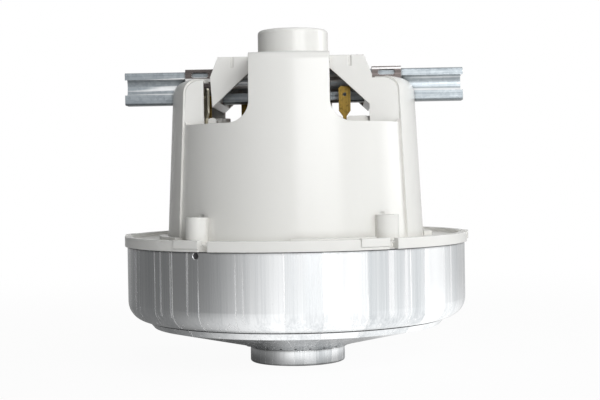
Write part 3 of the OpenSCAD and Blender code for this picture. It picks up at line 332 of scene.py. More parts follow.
    def _facets(self, name: str) -> bpy.types.NodeTree:
        """Makes upright facets of uneven width round a drawn wall, with a broken line between them that is
        painted as a highlight.

        Args:
            name: The group's name.

        Returns:
            The node group.
        """
        board, start, end = self._group(name, {"Count": "Float"}, {"Tone": "Float", "Line": "Float"})
        place = board.add("SeparateXYZ", {0: board.place()})
        front = board.maths("MULTIPLY", place.outputs["Y"], -1.0)
        turn = board.maths("DIVIDE", board.maths("ARCTAN2", place.outputs["X"], front), math.tau)
        around = {"W": board.maths("MULTIPLY", turn, start.outputs["Count"]), "Scale": 1.0}
        cell = board.add("TexVoronoi", around, voronoi_dimensions="1D").outputs["Color"]
        border = board.add("TexVoronoi", around, voronoi_dimensions="1D", feature="DISTANCE_TO_EDGE")
        near = board.maths("SUBTRACT", 1.0, board.above(border.outputs["Distance"], 0.006, 0.024))
        rubbed = board.above(board.noise(board.place((1.0, 1.0, 0.3)), 90.0, 2.0), 0.3, 0.6)
        board.feed(end.inputs["Tone"], board.add("SeparateColor", {0: cell}).outputs[0])
        board.feed(end.inputs["Line"], board.maths("MULTIPLY", near, rubbed))
        return board.tree

    def _speckle(self, name: str) -> bpy.types.NodeTree:
        """Scatters small stains and pits over a surface.

        Args:
            name: The group's name.

        Returns:
            The node group.
        """
        inputs = {"Scale": "Float", "Share": "Float"}
        board, start, end = self._group(name, inputs, {"Mask": "Float"})
        spots = board.noise(board.place(), start.outputs["Scale"], 5.0)
        gap = board.maths("SUBTRACT", spots, board.maths("SUBTRACT", 0.72, start.outputs["Share"]))
        board.feed(end.inputs["Mask"], board.maths("MULTIPLY", gap, 7.0, clamp=True))
        return board.tree


@dataclass(frozen=True)
class Finish:
    """What every finish has.

    Attributes:
        name: Name of the Blender material.
        slot: The record's material slot; not used.
        colour: Main colour.
        shade: Colour of its darker or stained places.
        roughness: Lowest and highest roughness.
        edge_radius: Radius of the edges as the light sees them.
        wear: How strongly the edges are lightened, as rubbed metal and as painted highlight.
        wear_scale: Scale of the breaks along a lightened edge.
    """

    name: str
    slot: str
    colour: Colour
    shade: Colour
    roughness: tuple[float, float]
    edge_radius: float = 0.3 * MM
    wear: float = 1.0
    wear_scale: float = 900.0

    def material(self, shelf: EffectShelf) -> bpy.types.Material:
        """Makes the Blender material.

        Args:
            shelf: The shared effects.

        Returns:
            The material, ready to assign.
        """
        made = bpy.data.materials.new(self.name)
        made.use_nodes = True
        board = Board(made.node_tree)
        board.tree.nodes.clear()
        shader = board.add("BsdfPrincipled")
        board.add("OutputMaterial", {"Surface": shader.outputs[0]})
        made.diffuse_color = (*self.colour, 1.0)
        self.lay(board, shelf, shader)
        return made

    def lay(self, board: Board, shelf: EffectShelf, shader: bpy.types.Node) -> None:
        """Lays the finish's own nodes before the shader.

        Args:
            board: The material's tree.
            shelf: The shared effects.
            shader: The material's shader.
        """
        raise NotImplementedError

    def edge(self, board: Board, shelf: EffectShelf) -> bpy.types.Node:
        """Places the edge effect with this finish's radius."""
        feeds = {"Radius": self.edge_radius, "Gain": 4.0 * self.wear, "Scale": self.wear_scale}
        return shelf.put(board, Effect.EDGE, feeds)

    def relief(self, board: Board, height: Feed, depth: float, normal: Feed) -> bpy.types.NodeSocket:
        """Turns a height into a normal."""
        feeds = {"Height": height, "Distance": depth, "Strength": 1.0, "Normal": normal}
        return board.add("Bump", feeds).outputs[0]


@dataclass(frozen=True)
class MouldedPlastic(Finish):
    """Glossy moulded plastic with flow marks, a fine grain, some dust and painted shade in its recesses.

    Attributes:
        dust: Colour of the dust, which is also the colour of the painted shade in the recesses.
        settled: How much dust lies on upward faces.
        recess: How much painted shade darkens the recesses.
        reach: How far the painted shade reaches out of the recesses.
        grain_scale: Scale of the moulded grain.
        grain_depth: Depth of the moulded grain.
        flow_scale: Scale of the flow marks.
        flow_share: How strongly they change the colour.
    """

    dust: Colour = (0.36, 0.32, 0.27)
    settled: float = 0.10
    recess: float = 0.35
    reach: float = 5.0 * MM
    grain_scale: float = 2200.0
    grain_depth: float = 0.004 * MM
    flow_scale: float = 30.0
    flow_share: float = 0.5

    def lay(self, board: Board, shelf: EffectShelf, shader: bpy.types.Node) -> None:
        """Lays the plastic's nodes before the shader.

        Args:
            board: The material's tree.
            shelf: The shared effects.
            shader: The material's shader.
        """
        edge = self.edge(board, shelf)
        grain = shelf.put(board, Effect.GRAIN, {"Scale": self.grain_scale})
        feeds = {"Settled": self.settled, "Recess": self.recess, "Reach": self.reach}
        dust = shelf.put(board, Effect.DUST, feeds)
        flow = board.above(board.noise(board.place((1.0, 1.0, 0.35)), self.flow_scale, 3.0), 0.35, 0.8)
        body = board.mix(board.spread(flow, 0.0, self.flow_share), self.colour, self.shade)
        # Dust on upward faces and painted shade in the recesses both take the dust colour.
        board.feed(shader.inputs["Base Color"], board.mix(dust.outputs["Mask"], body, self.dust))
        board.feed(shader.inputs["Roughness"], board.spread(grain.outputs["Tone"], *self.roughness))
        relief = self.relief(board, grain.outputs["Height"], self.grain_depth, edge.outputs["Normal"])
        board.feed(shader.inputs["Normal"], relief)
        shader.inputs["IOR"].default_value = 1.5


@dataclass(frozen=True)
class WorkedMetal(Finish):
    """Bare or plated metal with the marks of the tool that shaped it.

    Attributes:
        marks: The way that the marks run.
        mark_scale: Scale of the marks.
        mark_depth: Depth of the marks.
        contrast: How strongly the marks change the colour.
        stain: Share of the surface that small stains take.
        stain_scale: Scale of the stains.
        spangle: How strongly zinc crystals show.
        crystal_scale: Scale of the crystals.
        facets: Number of ironed facets round the piece.
        crease: How much painted shade darkens the creases.
        reach: How far the painted shade reaches out of the creases.
        grime: Colour of that painted shade.
        bright: Colour of scratches and rubbed edges, which also serves as painted highlight on the edges, the
            scratches and the lines between facets.
        rubbed: Roughness of scratches and of the lines between facets.
        dulled: How metallic the lines between facets are.
    """

    marks: Marks = Marks.ROLLED
    mark_scale: float = 1500.0
    mark_depth: float = 0.003 * MM
    contrast: float = 0.35
    stain: float = 0.05
    stain_scale: float = 900.0
    spangle: float = 0.0
    crystal_scale: float = 650.0
    facets: int = 0
    crease: float = 0.0
    reach: float = 2.0 * MM
    grime: Colour = (0.06, 0.055, 0.05)
    bright: Colour = (0.90, 0.90, 0.90)
    rubbed: float = 0.55
    dulled: float = 0.35

    def lay(self, board: Board, shelf: EffectShelf, shader: bpy.types.Node) -> None:
        """Lays the metal's nodes before the shader.

        Args:
            board: The material's tree.
            shelf: The shared effects.
            shader: The material's shader.
        """
        edge = self.edge(board, shelf)
        feeds = {"Place": board.place(self.marks.value), "Scale": self.mark_scale}
        streaks = shelf.put(board, Effect.STREAKS, feeds)
        stain = shelf.put(board, Effect.SPECKLE, {"Scale": self.stain_scale, "Share": self.stain})
        tone = board.spread(streaks.outputs["Tone"], 0.0, 2.0 * self.contrast)
        if self.spangle:
            cells = board.add("TexVoronoi", {"Vector": board.place(), "Scale": self.crystal_scale})
            crystal = board.add("SeparateColor", {0: cells.outputs["Color"]}).outputs[0]
            tone = board.maths("MULTIPLY_ADD", crystal, self.spangle, tone)
        # Scratch lines, the lines between facets and the edges take the bright colour: partly real wear,
        # partly painted highlight.
        line = board.maths("MULTIPLY", streaks.outputs["Scratch"], 0.5)
        if self.facets:
            facet = shelf.put(board, Effect.FACETS, {"Count": float(self.facets)})
            change = board.spread(facet.outputs["Tone"], -self.contrast, self.contrast)
            tone = board.maths("ADD", tone, change)
            line = board.maths("MAXIMUM", line, facet.outputs["Line"])
        body = board.mix(tone, self.colour, self.shade)
        stained = board.mix(board.maths("MULTIPLY", stain.outputs["Mask"], 0.6), body, self.shade)
        metal_colour = board.mix(board.maths("MAXIMUM", line, edge.outputs["Wear"]), stained, self.bright)
        # Painted shade darkens the creases.
        if self.crease:
            feeds = {"Settled": 0.0, "Recess": self.crease, "Reach": self.reach}
            metal_colour = board.mix(shelf.put(board, Effect.DUST, feeds).outputs["Mask"], metal_colour, self.grime)
        board.feed(shader.inputs["Base Color"], metal_colour)
        smooth = board.spread(streaks.outputs["Tone"], *self.roughness)
        rough = board.maths("MAXIMUM", smooth, board.spread(line, 0.0, self.rubbed))
        board.feed(shader.inputs["Roughness"], rough)
        relief = self.relief(board, streaks.outputs["Height"], self.mark_depth, edge.outputs["Normal"])
        board.feed(shader.inputs["Normal"], relief)
        shader.inputs["Metallic"].default_value = 1.0
        if self.facets:
            board.feed(shader.inputs["Metallic"], board.spread(line, 1.0, self.dulled))


@dataclass(frozen=True)
class IronStack(Finish):
    """Punched iron sheets stacked along the shaft, with rust in the joints.

    Attributes:
        sheet: Thickness of one sheet.
        joint_depth: Depth of the joint between two sheets.
        rust: Colour of the rust.
        rust_scale: Scale of the rust spots.
        rust_share: Share of the surface that rust takes.
    """

    sheet: float = 0.5 * MM
    joint_depth: float = 0.04 * MM
    rust: Colour = (0.16, 0.07, 0.03)
    rust_scale: float = 420.0
    rust_share: float = 0.16

    def lay(self, board: Board, shelf: EffectShelf, shader: bpy.types.Node) -> None:
        """Lays the stack's nodes before the shader.

        Args:
            board: The material's tree.
            shelf: The shared effects.
            shader: The material's shader.
        """
        edge = self.edge(board, shelf)
        stain = shelf.put(board, Effect.SPECKLE, {"Scale": self.rust_scale, "Share": self.rust_share})
        level = board.add("SeparateXYZ", {0: board.place()}).outputs["Z"]
        step = board.maths("PINGPONG", level, self.sheet / 2)
        ridge = board.above(board.maths("DIVIDE", step, self.sheet / 2), 0.0, 0.35)
        body = board.mix(ridge, self.shade, self.colour)
        board.feed(shader.inputs["Base Color"], board.mix(stain.outputs["Mask"], body, self.rust))
        board.feed(shader.inputs["Roughness"], board.spread(stain.outputs["Mask"], *self.roughness))
        relief = self.relief(board, ridge, self.joint_depth, edge.outputs["Normal"])
        board.feed(shader.inputs["Normal"], relief)
        board.feed(shader.inputs["Metallic"], board.spread(stain.outputs["Mask"], 0.9, 0.3))


@dataclass(frozen=True)
class CoatedWire(Finish):
    """Copper wire under clear enamel, darker where varnish has run.

    Attributes:
        grain_scale: Scale of the wire's grain.
        grain_depth: Depth of the wire's grain.
        run_scale: Scale of the varnish runs.
        run_share: Share of the surface that varnish takes.
        metallic: How metallic the wire is under its enamel.
        enamel: Weight of the enamel.
        enamel_roughness: Roughness of the enamel.
    """

    grain_scale: float = 1800.0
    grain_depth: float = 0.01 * MM
    run_scale: float = 160.0
    run_share: float = 0.22
    metallic: float = 0.85
    enamel: float = 0.6
    enamel_roughness: float = 0.12

    def lay(self, board: Board, shelf: EffectShelf, shader: bpy.types.Node) -> None:
        """Lays the wire's nodes before the shader.

        Args:
            board: The material's tree.
            shelf: The shared effects.
            shader: The material's shader.
        """
        grain = shelf.put(board, Effect.GRAIN, {"Scale": self.grain_scale})
        run = shelf.put(board, Effect.SPECKLE, {"Scale": self.run_scale, "Share": self.run_share})
        body = board.mix(run.outputs["Mask"], self.colour, self.shade)
        board.feed(shader.inputs["Base Color"], body)
        board.feed(shader.inputs["Roughness"], board.spread(grain.outputs["Tone"], *self.roughness))
        normal = board.add("NewGeometry").outputs["Normal"]
        relief = self.relief(board, grain.outputs["Height"], self.grain_depth, normal)
        board.feed(shader.inputs["Normal"], relief)
        shader.inputs["Metallic"].default_value = self.metallic
        shader.inputs["Coat Weight"].default_value = self.enamel
        shader.inputs["Coat Roughness"].default_value = self.enamel_roughness


@dataclass(frozen=True)
class MattBlock(Finish):
    """A matt solid such as carbon, resin, rubber or cord, or the near-black painted shade in hollows and
    seams.

    Attributes:
        grain_scale: Scale of its grain.
        grain_depth: Depth of its grain.
        spot_scale: Scale of its dark spots.
        spot_share: Share of the surface that the spots take.
    """

    grain_scale: float = 1600.0
    grain_depth: float = 0.02 * MM
    spot_scale: float = 1400.0
    spot_share: float = 0.12

    def lay(self, board: Board, shelf: EffectShelf, shader: bpy.types.Node) -> None:
        """Lays the block's nodes before the shader.

        Args:
            board: The material's tree.
            shelf: The shared effects.
            shader: The material's shader.
        """
        edge = self.edge(board, shelf)
        grain = shelf.put(board, Effect.GRAIN, {"Scale": self.grain_scale})
        spot = shelf.put(board, Effect.SPECKLE, {"Scale": self.spot_scale, "Share": self.spot_share})
        body = board.mix(grain.outputs["Tone"], self.colour, self.shade)
        board.feed(shader.inputs["Base Color"], board.mix(spot.outputs["Mask"], body, self.shade))
        board.feed(shader.inputs["Roughness"], board.spread(grain.outputs["Tone"], *self.roughness))
        relief = self.relief(board, grain.outputs["Height"], self.grain_depth, edge.outputs["Normal"])
        board.feed(shader.inputs["Normal"], relief)


WHITE_PLASTIC = MouldedPlastic(
    "white_moulded_plastic", "white_plastic", (0.86, 0.86, 0.835), (0.83, 0.83, 0.80), (0.17, 0.30),
    edge_radius=0.45 * MM, settled=0.05, recess=0.3,
)
VANE_PLASTIC = MouldedPlastic(
    "grey_vane_plastic", "white_plastic", (0.60, 0.60, 0.58), (0.50, 0.50, 0.48), (0.35, 0.5), settled=0.3
)
DRAWN_SHEET = WorkedMetal(
    "drawn_cover_sheet", "drawn_sheet", (0.92, 0.935, 0.945), (0.50, 0.53, 0.55), (0.12, 0.28), 0.4 * MM, 0.5,
    marks=Marks.UPRIGHT, mark_scale=1100.0, mark_depth=0.005 * MM, contrast=0.3, stain=0.02,
    facets=30, crease=1.0, bright=(0.97, 0.975, 0.98),
)
PLATED_STEEL = WorkedMetal(
    "zinc_plated_steel", "plated_steel", (0.37, 0.405, 0.425), (0.15, 0.17, 0.19), (0.30, 0.50), 0.15 * MM,
    marks=Marks.ALONG_X, mark_scale=1400.0, contrast=0.3, stain=0.1, spangle=0.25, crease=0.7,
)
CLIP_STEEL = WorkedMetal(
    "dull_clip_steel", "plated_steel", (0.14, 0.12, 0.115), (0.05, 0.045, 0.045), (0.25, 0.5), 0.15 * MM, 1.0,
    marks=Marks.ALONG_X, mark_scale=1400.0, contrast=0.4, stain=0.14,
)
BARE_STEEL = WorkedMetal(
    "ground_steel", "bare_steel", (0.60, 0.60, 0.61), (0.34, 0.34, 0.35), (0.15, 0.35), 0.1 * MM,
    marks=Marks.TURNED, mark_scale=3000.0,
)
FAN_METAL = WorkedMetal(
    "fan_aluminium", "fan_aluminium", (0.76, 0.77, 0.78), (0.50, 0.51, 0.52), (0.28, 0.48), 0.15 * MM,
    marks=Marks.ROLLED, mark_scale=1300.0,
)
BRASS = WorkedMetal(
    "stained_brass", "brass", (0.21, 0.135, 0.032), (0.06, 0.042, 0.012), (0.22, 0.45), 0.12 * MM, 2.2,
    marks=Marks.UPRIGHT, mark_scale=1800.0, contrast=0.4, stain=0.17, bright=(0.95, 0.80, 0.42),
)
# Pale tinned brass for the brush tabs, lightened as painted light because the tabs stand in shade inside the
# windows.
TINNED_BRASS_PAINTED_LIGHT = WorkedMetal(
    "tinned_brass_painted_light", "brass", (0.90, 0.87, 0.76), (0.50, 0.44, 0.26), (0.3, 0.55), 0.12 * MM, 2.2,
    marks=Marks.UPRIGHT, mark_scale=1800.0, contrast=0.4, stain=0.1, bright=(0.95, 0.93, 0.86),
)
BAR_COPPER = WorkedMetal(
    "turned_copper", "copper", (0.74, 0.36, 0.20), (0.34, 0.15, 0.08), (0.2, 0.4), 0.1 * MM,
    marks=Marks.TURNED, mark_scale=2600.0, bright=(0.95, 0.60, 0.42),
)
STACK_IRON = IronStack(
    "iron_stack", "iron_stack", (0.30, 0.31, 0.33), (0.05, 0.05, 0.055), (0.38, 0.7), 0.1 * MM
)
WIRE_COPPER = CoatedWire("enamelled_copper", "copper", (0.62, 0.25, 0.11), (0.30, 0.10, 0.04), (0.2, 0.4))
BRAID_COPPER = WorkedMetal(
    "braid_copper", "copper", (0.78, 0.40, 0.24), (0.40, 0.19, 0.10), (0.25, 0.5), 0.05 * MM,
    marks=Marks.ALONG_X, mark_scale=2200.0, bright=(0.95, 0.65, 0.45),
)
CARBON = MattBlock(
    "brush_carbon", "carbon", (0.035, 0.035, 0.037), (0.015, 0.015, 0.016), (0.45, 0.7), 0.15 * MM
)
RESIN = MattBlock(
    "dark_resin", "dark_resin", (0.085, 0.045, 0.028), (0.05, 0.028, 0.02), (0.3, 0.55), 0.15 * MM
)
RUBBER = MattBlock("black_rubber", "rubber", (0.02, 0.02, 0.02), (0.03, 0.03, 0.03), (0.55, 0.8), 0.2 * MM)
TIE_CORD = MattBlock(
    "tie_cord", "white_plastic", (0.62, 0.56, 0.42), (0.42, 0.36, 0.25), (0.6, 0.85), 0.05 * MM
)
# Near-black painted shade for the punch marks, the cover's shadow lines and the crimp dimples.
HOLLOW_SHADE = MattBlock(
    "painted_hollow_shade", "drawn_sheet", (0.05, 0.05, 0.055), (0.03, 0.03, 0.03), (0.4, 0.6), 0.05 * MM
)


class Paints:
    """Makes each finish's material once and puts it on pieces."""

    def __init__(self) -> None:
        """Starts with no material made."""
        self.shelf = EffectShelf()
        self._made: dict[Finish, bpy.types.Material] = {}

    def of(self, finish: Finish) -> bpy.types.Material:
        """Gives a finish's material.

        Args:
            finish: The finish that is wanted.

        Returns:
            Its material, made at the first call.
        """
        if finish not in self._made:
            self._made[finish] = finish.material(self.shelf)
        return self._made[finish]

    def nodes(self, finish: Finish, *names: str) -> None:
        """Paints CAD nodes.

        Args:
            finish: The finish that they get.
            *names: The names of the nodes.
        """
        for name in names:
            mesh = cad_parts[name].data
            mesh.materials.clear()
            mesh.materials.append(self.of(finish))

    def piece(self, finish: Finish, piece: bpy.types.Object) -> None:
        """Paints a new piece."""
        piece.data.materials.append(self.of(finish))


class WireMesh:
    """Collects swept wires and turned shapes, and makes one mesh of them."""

    def __init__(self) -> None:
        """Starts with no points."""
        self.points: list[Vector] = []
        self.faces: list[tuple[int, ...]] = []

    def sweep(self, path: Sequence[Vector], radius: float, sides: int, closed: bool = False) -> None:
        """Sweeps a round section along a path.

        Args:
            path: Points along the middle of the wire.
            radius: Radius of the wire.
            sides: Number of points round the section.
            closed: Whether the path runs back into its start.
        """
        count = len(path)
        start = len(self.points)
        side = None
        for i, point in enumerate(path):
            ahead = path[(i + 1) % count] if closed or i < count - 1 else point
            behind = path[i - 1] if closed or i > 0 else point
            way = (ahead - behind).normalized()
            side = way.orthogonal() if side is None else side - way * side.dot(way)
            side = side.normalized()
            up = way.cross(side)
            for k in range(sides):
                angle = math.tau * k / sides
                self.points.append(point + radius * (math.cos(angle) * side + math.sin(angle) * up))
        self._skin(start, count, sides, closed)
        if not closed:
            last = start + (count - 1) * sides
            self.faces.append(tuple(start + k for k in reversed(range(sides))))
            self.faces.append(tuple(last + k for k in range(sides)))

    def turn(self, profile: Sequence[tuple[float, float]], frame_at: Matrix, sides: int) -> None:
        """Turns a profile about the Z of a frame, closed at its first point.

        Args:
            profile: Radius and height of its points.
            frame_at: The frame that it is turned in.
            sides: Number of points round the turn.
        """
        start = len(self.points)
        for radius, height in profile:
            for k in range(sides):
                angle = math.tau * k / sides
                spot = Vector((radius * math.cos(angle), radius * math.sin(angle), height))
                self.points.append(frame_at @ spot)
        self._skin(start, len(profile), sides, False)
        self.faces.append(tuple(start + k for k in reversed(range(sides))))

    def _skin(self, start: int, rings: int, sides: int, closed: bool) -> None:
        """Joins neighbouring rings of points with faces.

        Args:
            start: Number of the first ring's first point.
            rings: Number of rings.
            sides: Number of points in a ring.
            closed: Whether the last ring joins the first.
        """
        for i in range(rings if closed else rings - 1):
            low = start + i * sides
            high = start + (i + 1) % rings * sides
            for k in range(sides):
                after = (k + 1) % sides
                self.faces.append((low + k, low + after, high + after, high + k))

    def piece(self, name: str) -> bpy.types.Object:
        """Makes the object.

        Args:
            name: Name of the piece.

        Returns:
            A smooth shaded mesh object, linked to the scene.
        """
        mesh = bpy.data.meshes.new(name)
        mesh.from_pydata([tuple(p) for p in self.points], [], self.faces)
        mesh.validate()
        mesh.shade_smooth()
        made = bpy.data.objects.new(name, mesh)
        bpy.context.scene.collection.objects.link(made)
        return made


@dataclass
class SubAssembly:
    """One group of pieces, with the paints that it takes."""

    paints: Paints

    def build(self) -> None:
        """Builds the group's new pieces, where it has any."""

    def dress(self) -> None:
        """Paints the group's CAD nodes."""

    def add(
        self, name: str, shape: WireMesh, finish: Finish, body: Body, *stands_for: str
    ) -> bpy.types.Object:
        """Makes a painted piece of a shape and rides it on a body.

        Args:
            name: Name of the piece.
            shape: Its wires or turned shapes.
            finish: Its finish.
            body: The CAD body that it moves with.
            *stands_for: The CAD nodes that it stands for, which are hidden.

        Returns:
            The piece.
        """
        piece = shape.piece(name)
        self.paints.piece(finish, piece)
        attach(piece, body.value)
        if stands_for:
            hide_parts(*stands_for)
        log.info("%s rides on %s: %d faces", piece.name, body.value, len(piece.data.polygons))
        return piece


@dataclass
class Housing(SubAssembly):
    """The white mouldings and the screws that hold them together."""

    def dress(self) -> None:
        """Paints the mouldings and screws."""
        self.paints.nodes(WHITE_PLASTIC, "motor_housing", "bearing_bracket")
        self.paints.nodes(PLATED_STEEL, "housing_screws")


@dataclass
class FanCase(SubAssembly):
    """The drawn fan cover and the inlet collar rolled into it.

    Attributes:
        mark_count: Number of punch marks round the neck.
        mark_ring_r: Distance of the punch marks from the shaft axis.
        neck: Radius and height of the neck's foot and top.
        mark_profile: Section of one punch mark, from its hollow to its rim.
        seams: Radius and height of the painted shadow lines under the rim and under the bend.
        shadow_line_r: Radius of the section of such a line.
        crimp_count: Number of crimp dimples round the cover.
        crimp_turn: Angle of the first dimple about the shaft axis, in degrees from +X.
        crimp_at: Distance from the axis and height of the wall at a dimple's middle.
        crimp_profile: Section of the painted shade in a dimple, from its middle out, with heights from the
            wall.
    """

    mark_count: int = 24
    mark_ring_r: float = 23.2 * MM
    neck: tuple[tuple[float, float], tuple[float, float]] = ((20.0 * MM, 6.3 * MM), (25.8 * MM, 8.2 * MM))
    mark_profile: tuple[tuple[float, float], ...] = (
        (0.10 * MM, 0.03 * MM), (0.28 * MM, 0.04 * MM), (0.40 * MM, 0.11 * MM), (0.50 * MM, 0.09 * MM),
        (0.60 * MM, -0.05 * MM),
    )
    seams: tuple[tuple[float, float], ...] = ((71.0 * MM, 49.75 * MM), (63.1 * MM, 18.8 * MM))
    shadow_line_r: float = 0.22 * MM
    crimp_count: int = 3
    crimp_turn: float = -120.2
    crimp_at: tuple[float, float] = (71.0 * MM, 48.3 * MM)
    crimp_profile: tuple[tuple[float, float], ...] = (
        (0.05 * MM, -0.50 * MM), (0.5 * MM, -0.47 * MM), (0.9 * MM, -0.34 * MM), (1.2 * MM, -0.16 * MM),
        (1.35 * MM, -0.14 * MM),
    )

    def build(self) -> None:
        """Builds the small pieces that the sheet shows."""
        self.stake_collar()
        self.fill_seams()
        self.paint_crimp_shade()

    def stake_collar(self) -> None:
        """Builds the ring of punch marks that stake the collar in the neck."""
        (foot_r, foot_z), (top_r, top_z) = self.neck
        slope = math.atan2(top_z - foot_z, top_r - foot_r)
        level = foot_z + (self.mark_ring_r - foot_r) * math.tan(slope)
        tilt = Matrix.Rotation(math.pi - slope, 4, "Y")
        seat = Matrix.Translation((self.mark_ring_r, 0.0, level)) @ tilt
        marks = WireMesh()
        for i in range(self.mark_count):
            around = Matrix.Rotation(math.tau * i / self.mark_count, 4, "Z")
            marks.turn(self.mark_profile, around @ seat, sides=14)
        # The punch marks are painted near-black, as painted shade in their hollows.
        self.add("collar_punch_marks", marks, HOLLOW_SHADE, Body.FRAME)

    def fill_seams(self) -> None:
        """Builds the dark lines of painted shadow under the cover's rim and under its bend."""
        lines = WireMesh()
        steps = 180
        turns = [math.tau * i / steps for i in range(steps)]
        for radius, level in self.seams:
            ring = [Vector((radius * math.cos(turn), radius * math.sin(turn), level)) for turn in turns]
            lines.sweep(ring, self.shadow_line_r, sides=6, closed=True)
        self.add("cover_seam_grime", lines, HOLLOW_SHADE, Body.FRAME)

    def paint_crimp_shade(self) -> None:
        """Builds dark discs of painted shade in the crimp dimples."""
        wall_r, level = self.crimp_at
        outward = Matrix.Translation((wall_r, 0.0, level)) @ Matrix.Rotation(math.pi / 2, 4, "Y")
        grime = WireMesh()
        for i in range(self.crimp_count):
            turn = math.radians(self.crimp_turn) + math.tau * i / self.crimp_count
            grime.turn(self.crimp_profile, Matrix.Rotation(turn, 4, "Z") @ outward, sides=16)
        self.add("crimp_grime", grime, HOLLOW_SHADE, Body.FRAME)

    def dress(self) -> None:
        """Paints the sheet pieces."""
        self.paints.nodes(DRAWN_SHEET, "fan_cover", "inlet_collar")


@dataclass
class Stator(SubAssembly):
    """The iron stator, its insulators and its two wound field coils.

    Attributes:
        pole_half_w: Half width of a pole.
        pole_half_h: Half height of the iron stack.
        stack_mid_z: Height of the middle of the stack.
        coil_front_y: Distance of a coil's inner face from the shaft axis.
        coil_depth: Depth of a coil along Y, and its thickness round the pole.
        wires: Number of wires along one side of a coil's section.
        fill: Radius of a wire as a share of the pitch of the wires.
        slack: How far a wire strays from its place.
        seed: Start of the random draws.
        tie_x: Places of the ties on an end turn.
        tie_end: Height of a tie's ends from the middle of the stack.
        tie_bend: Radius of a tie's bend over the coil.
        cord_r: Radius of the tie cord.
    """

    pole_half_w: float = 10.0 * MM
    pole_half_h: float = 15.0 * MM
    stack_mid_z: float = 81.0 * MM
    coil_front_y: float = 25.5 * MM
    coil_depth: float = 7.0 * MM
    wires: int = 9
    fill: float = 0.48
    slack: float = 0.05 * MM
    seed: int = 7
    tie_x: tuple[float, ...] = (-6.0 * MM, 0.0, 6.0 * MM)
    tie_end: float = 17.0 * MM
    tie_bend: float = 0.9 * MM
    cord_r: float = 0.22 * MM

    def loop(self, out: float, y: float, steps: int = 6) -> list[Vector]:
        """Gives one turn of wire round a pole.

        Args:
            out: Distance of the wire's middle from the pole.
            y: Place of the turn along the pole.
            steps: Points in each rounded corner.

        Returns:
            The points of a closed loop.
        """
        corner = max(0.8 * out, 0.4 * MM)
        middles = (
            (self.pole_half_w + out - corner, self.pole_half_h + out - corner, 0),
            (-self.pole_half_w - out + corner, self.pole_half_h + out - corner, 1),
            (-self.pole_half_w - out + corner, -self.pole_half_h - out + corner, 2),
            (self.pole_half_w + out - corner, -self.pole_half_h - out + corner, 3),
        )
        points = []
        for x, z, quarter in middles:
            for step in range(steps):
                angle = math.pi / 2 * (quarter + step / (steps - 1))
                place = (x + corner * math.cos(angle), y, self.stack_mid_z + z + corner * math.sin(angle))
                points.append(Vector(place))
        return points

    def coil(self, front: int) -> WireMesh:
        """Shapes one field coil from the wires at the outside of its section.

        Args:
            front: -1 for the coil at the front, 1 for the one at the rear.

        Returns:
            The coil's wires.
        """
        stray = random.Random(self.seed + front)
        pitch = self.coil_depth / self.wires
        radius = pitch * self.fill
        bundle = WireMesh()
        for layer in range(self.wires):
            for row in range(self.wires):
                if layer < self.wires - 1 and 0 < row < self.wires - 1:
                    continue
                out = (layer + 0.5) * pitch - stray.uniform(0.0, self.slack)
                y = self.coil_front_y + (row + 0.5) * pitch + stray.uniform(-self.slack, self.slack)
                bundle.sweep(self.loop(out, front * y), radius, sides=8, closed=True)
        return bundle

    def tie_path(self) -> list[tuple[float, float]]:
        """Gives the way of a tie over an end turn.

        Returns:
            Its points' distances from the shaft axis and heights from the middle of the stack.
        """
        half = self.coil_depth / 2
        middle_y = self.coil_front_y + half
        steps = 4
        path = [(middle_y - half, self.tie_end)]
        for corner_y, first in ((-1, math.pi), (1, math.pi / 2)):
            for step in range(steps + 1):
                angle = first - math.pi / 2 * step / steps
                y = middle_y + corner_y * (half - self.tie_bend) + self.tie_bend * math.cos(angle)
                z = self.pole_half_h + self.coil_depth - self.tie_bend + self.tie_bend * math.sin(angle)
                path.append((y, z))
        path.append((middle_y + half, self.tie_end))
        return path

    def ties(self, front: int) -> WireMesh:
        """Shapes the cords that tie the end turns of one coil, each laid twice.

        Args:
            front: -1 for the coil at the front, 1 for the one at the rear.

        Returns:
            The six ties.
        """
        cords = WireMesh()
        for end in (-1, 1):
            for tie_x in self.tie_x:
                for x in (tie_x - self.cord_r, tie_x + self.cord_r):
                    path = [Vector((x, front * y, self.stack_mid_z + end * z)) for y, z in self.tie_path()]
                    cords.sweep(path, self.cord_r, sides=6)
        return cords

    def build(self) -> None:
        """Builds the two field coils and their ties."""
        for word, front in (("front", -1), ("rear", 1)):
            self.add(f"field_winding_{word}", self.coil(front), WIRE_COPPER, Body.FRAME, f"field_coil_{word}")
            self.add(f"field_ties_{word}", self.ties(front), TIE_CORD, Body.FRAME)

    def dress(self) -> None:
        """Paints the stack, its screws and its insulators."""
        self.paints.nodes(STACK_IRON, "stator_core")
        self.paints.nodes(PLATED_STEEL, "stator_screws")
        self.paints.nodes(WHITE_PLASTIC, "upper_insulator", "lower_insulator")


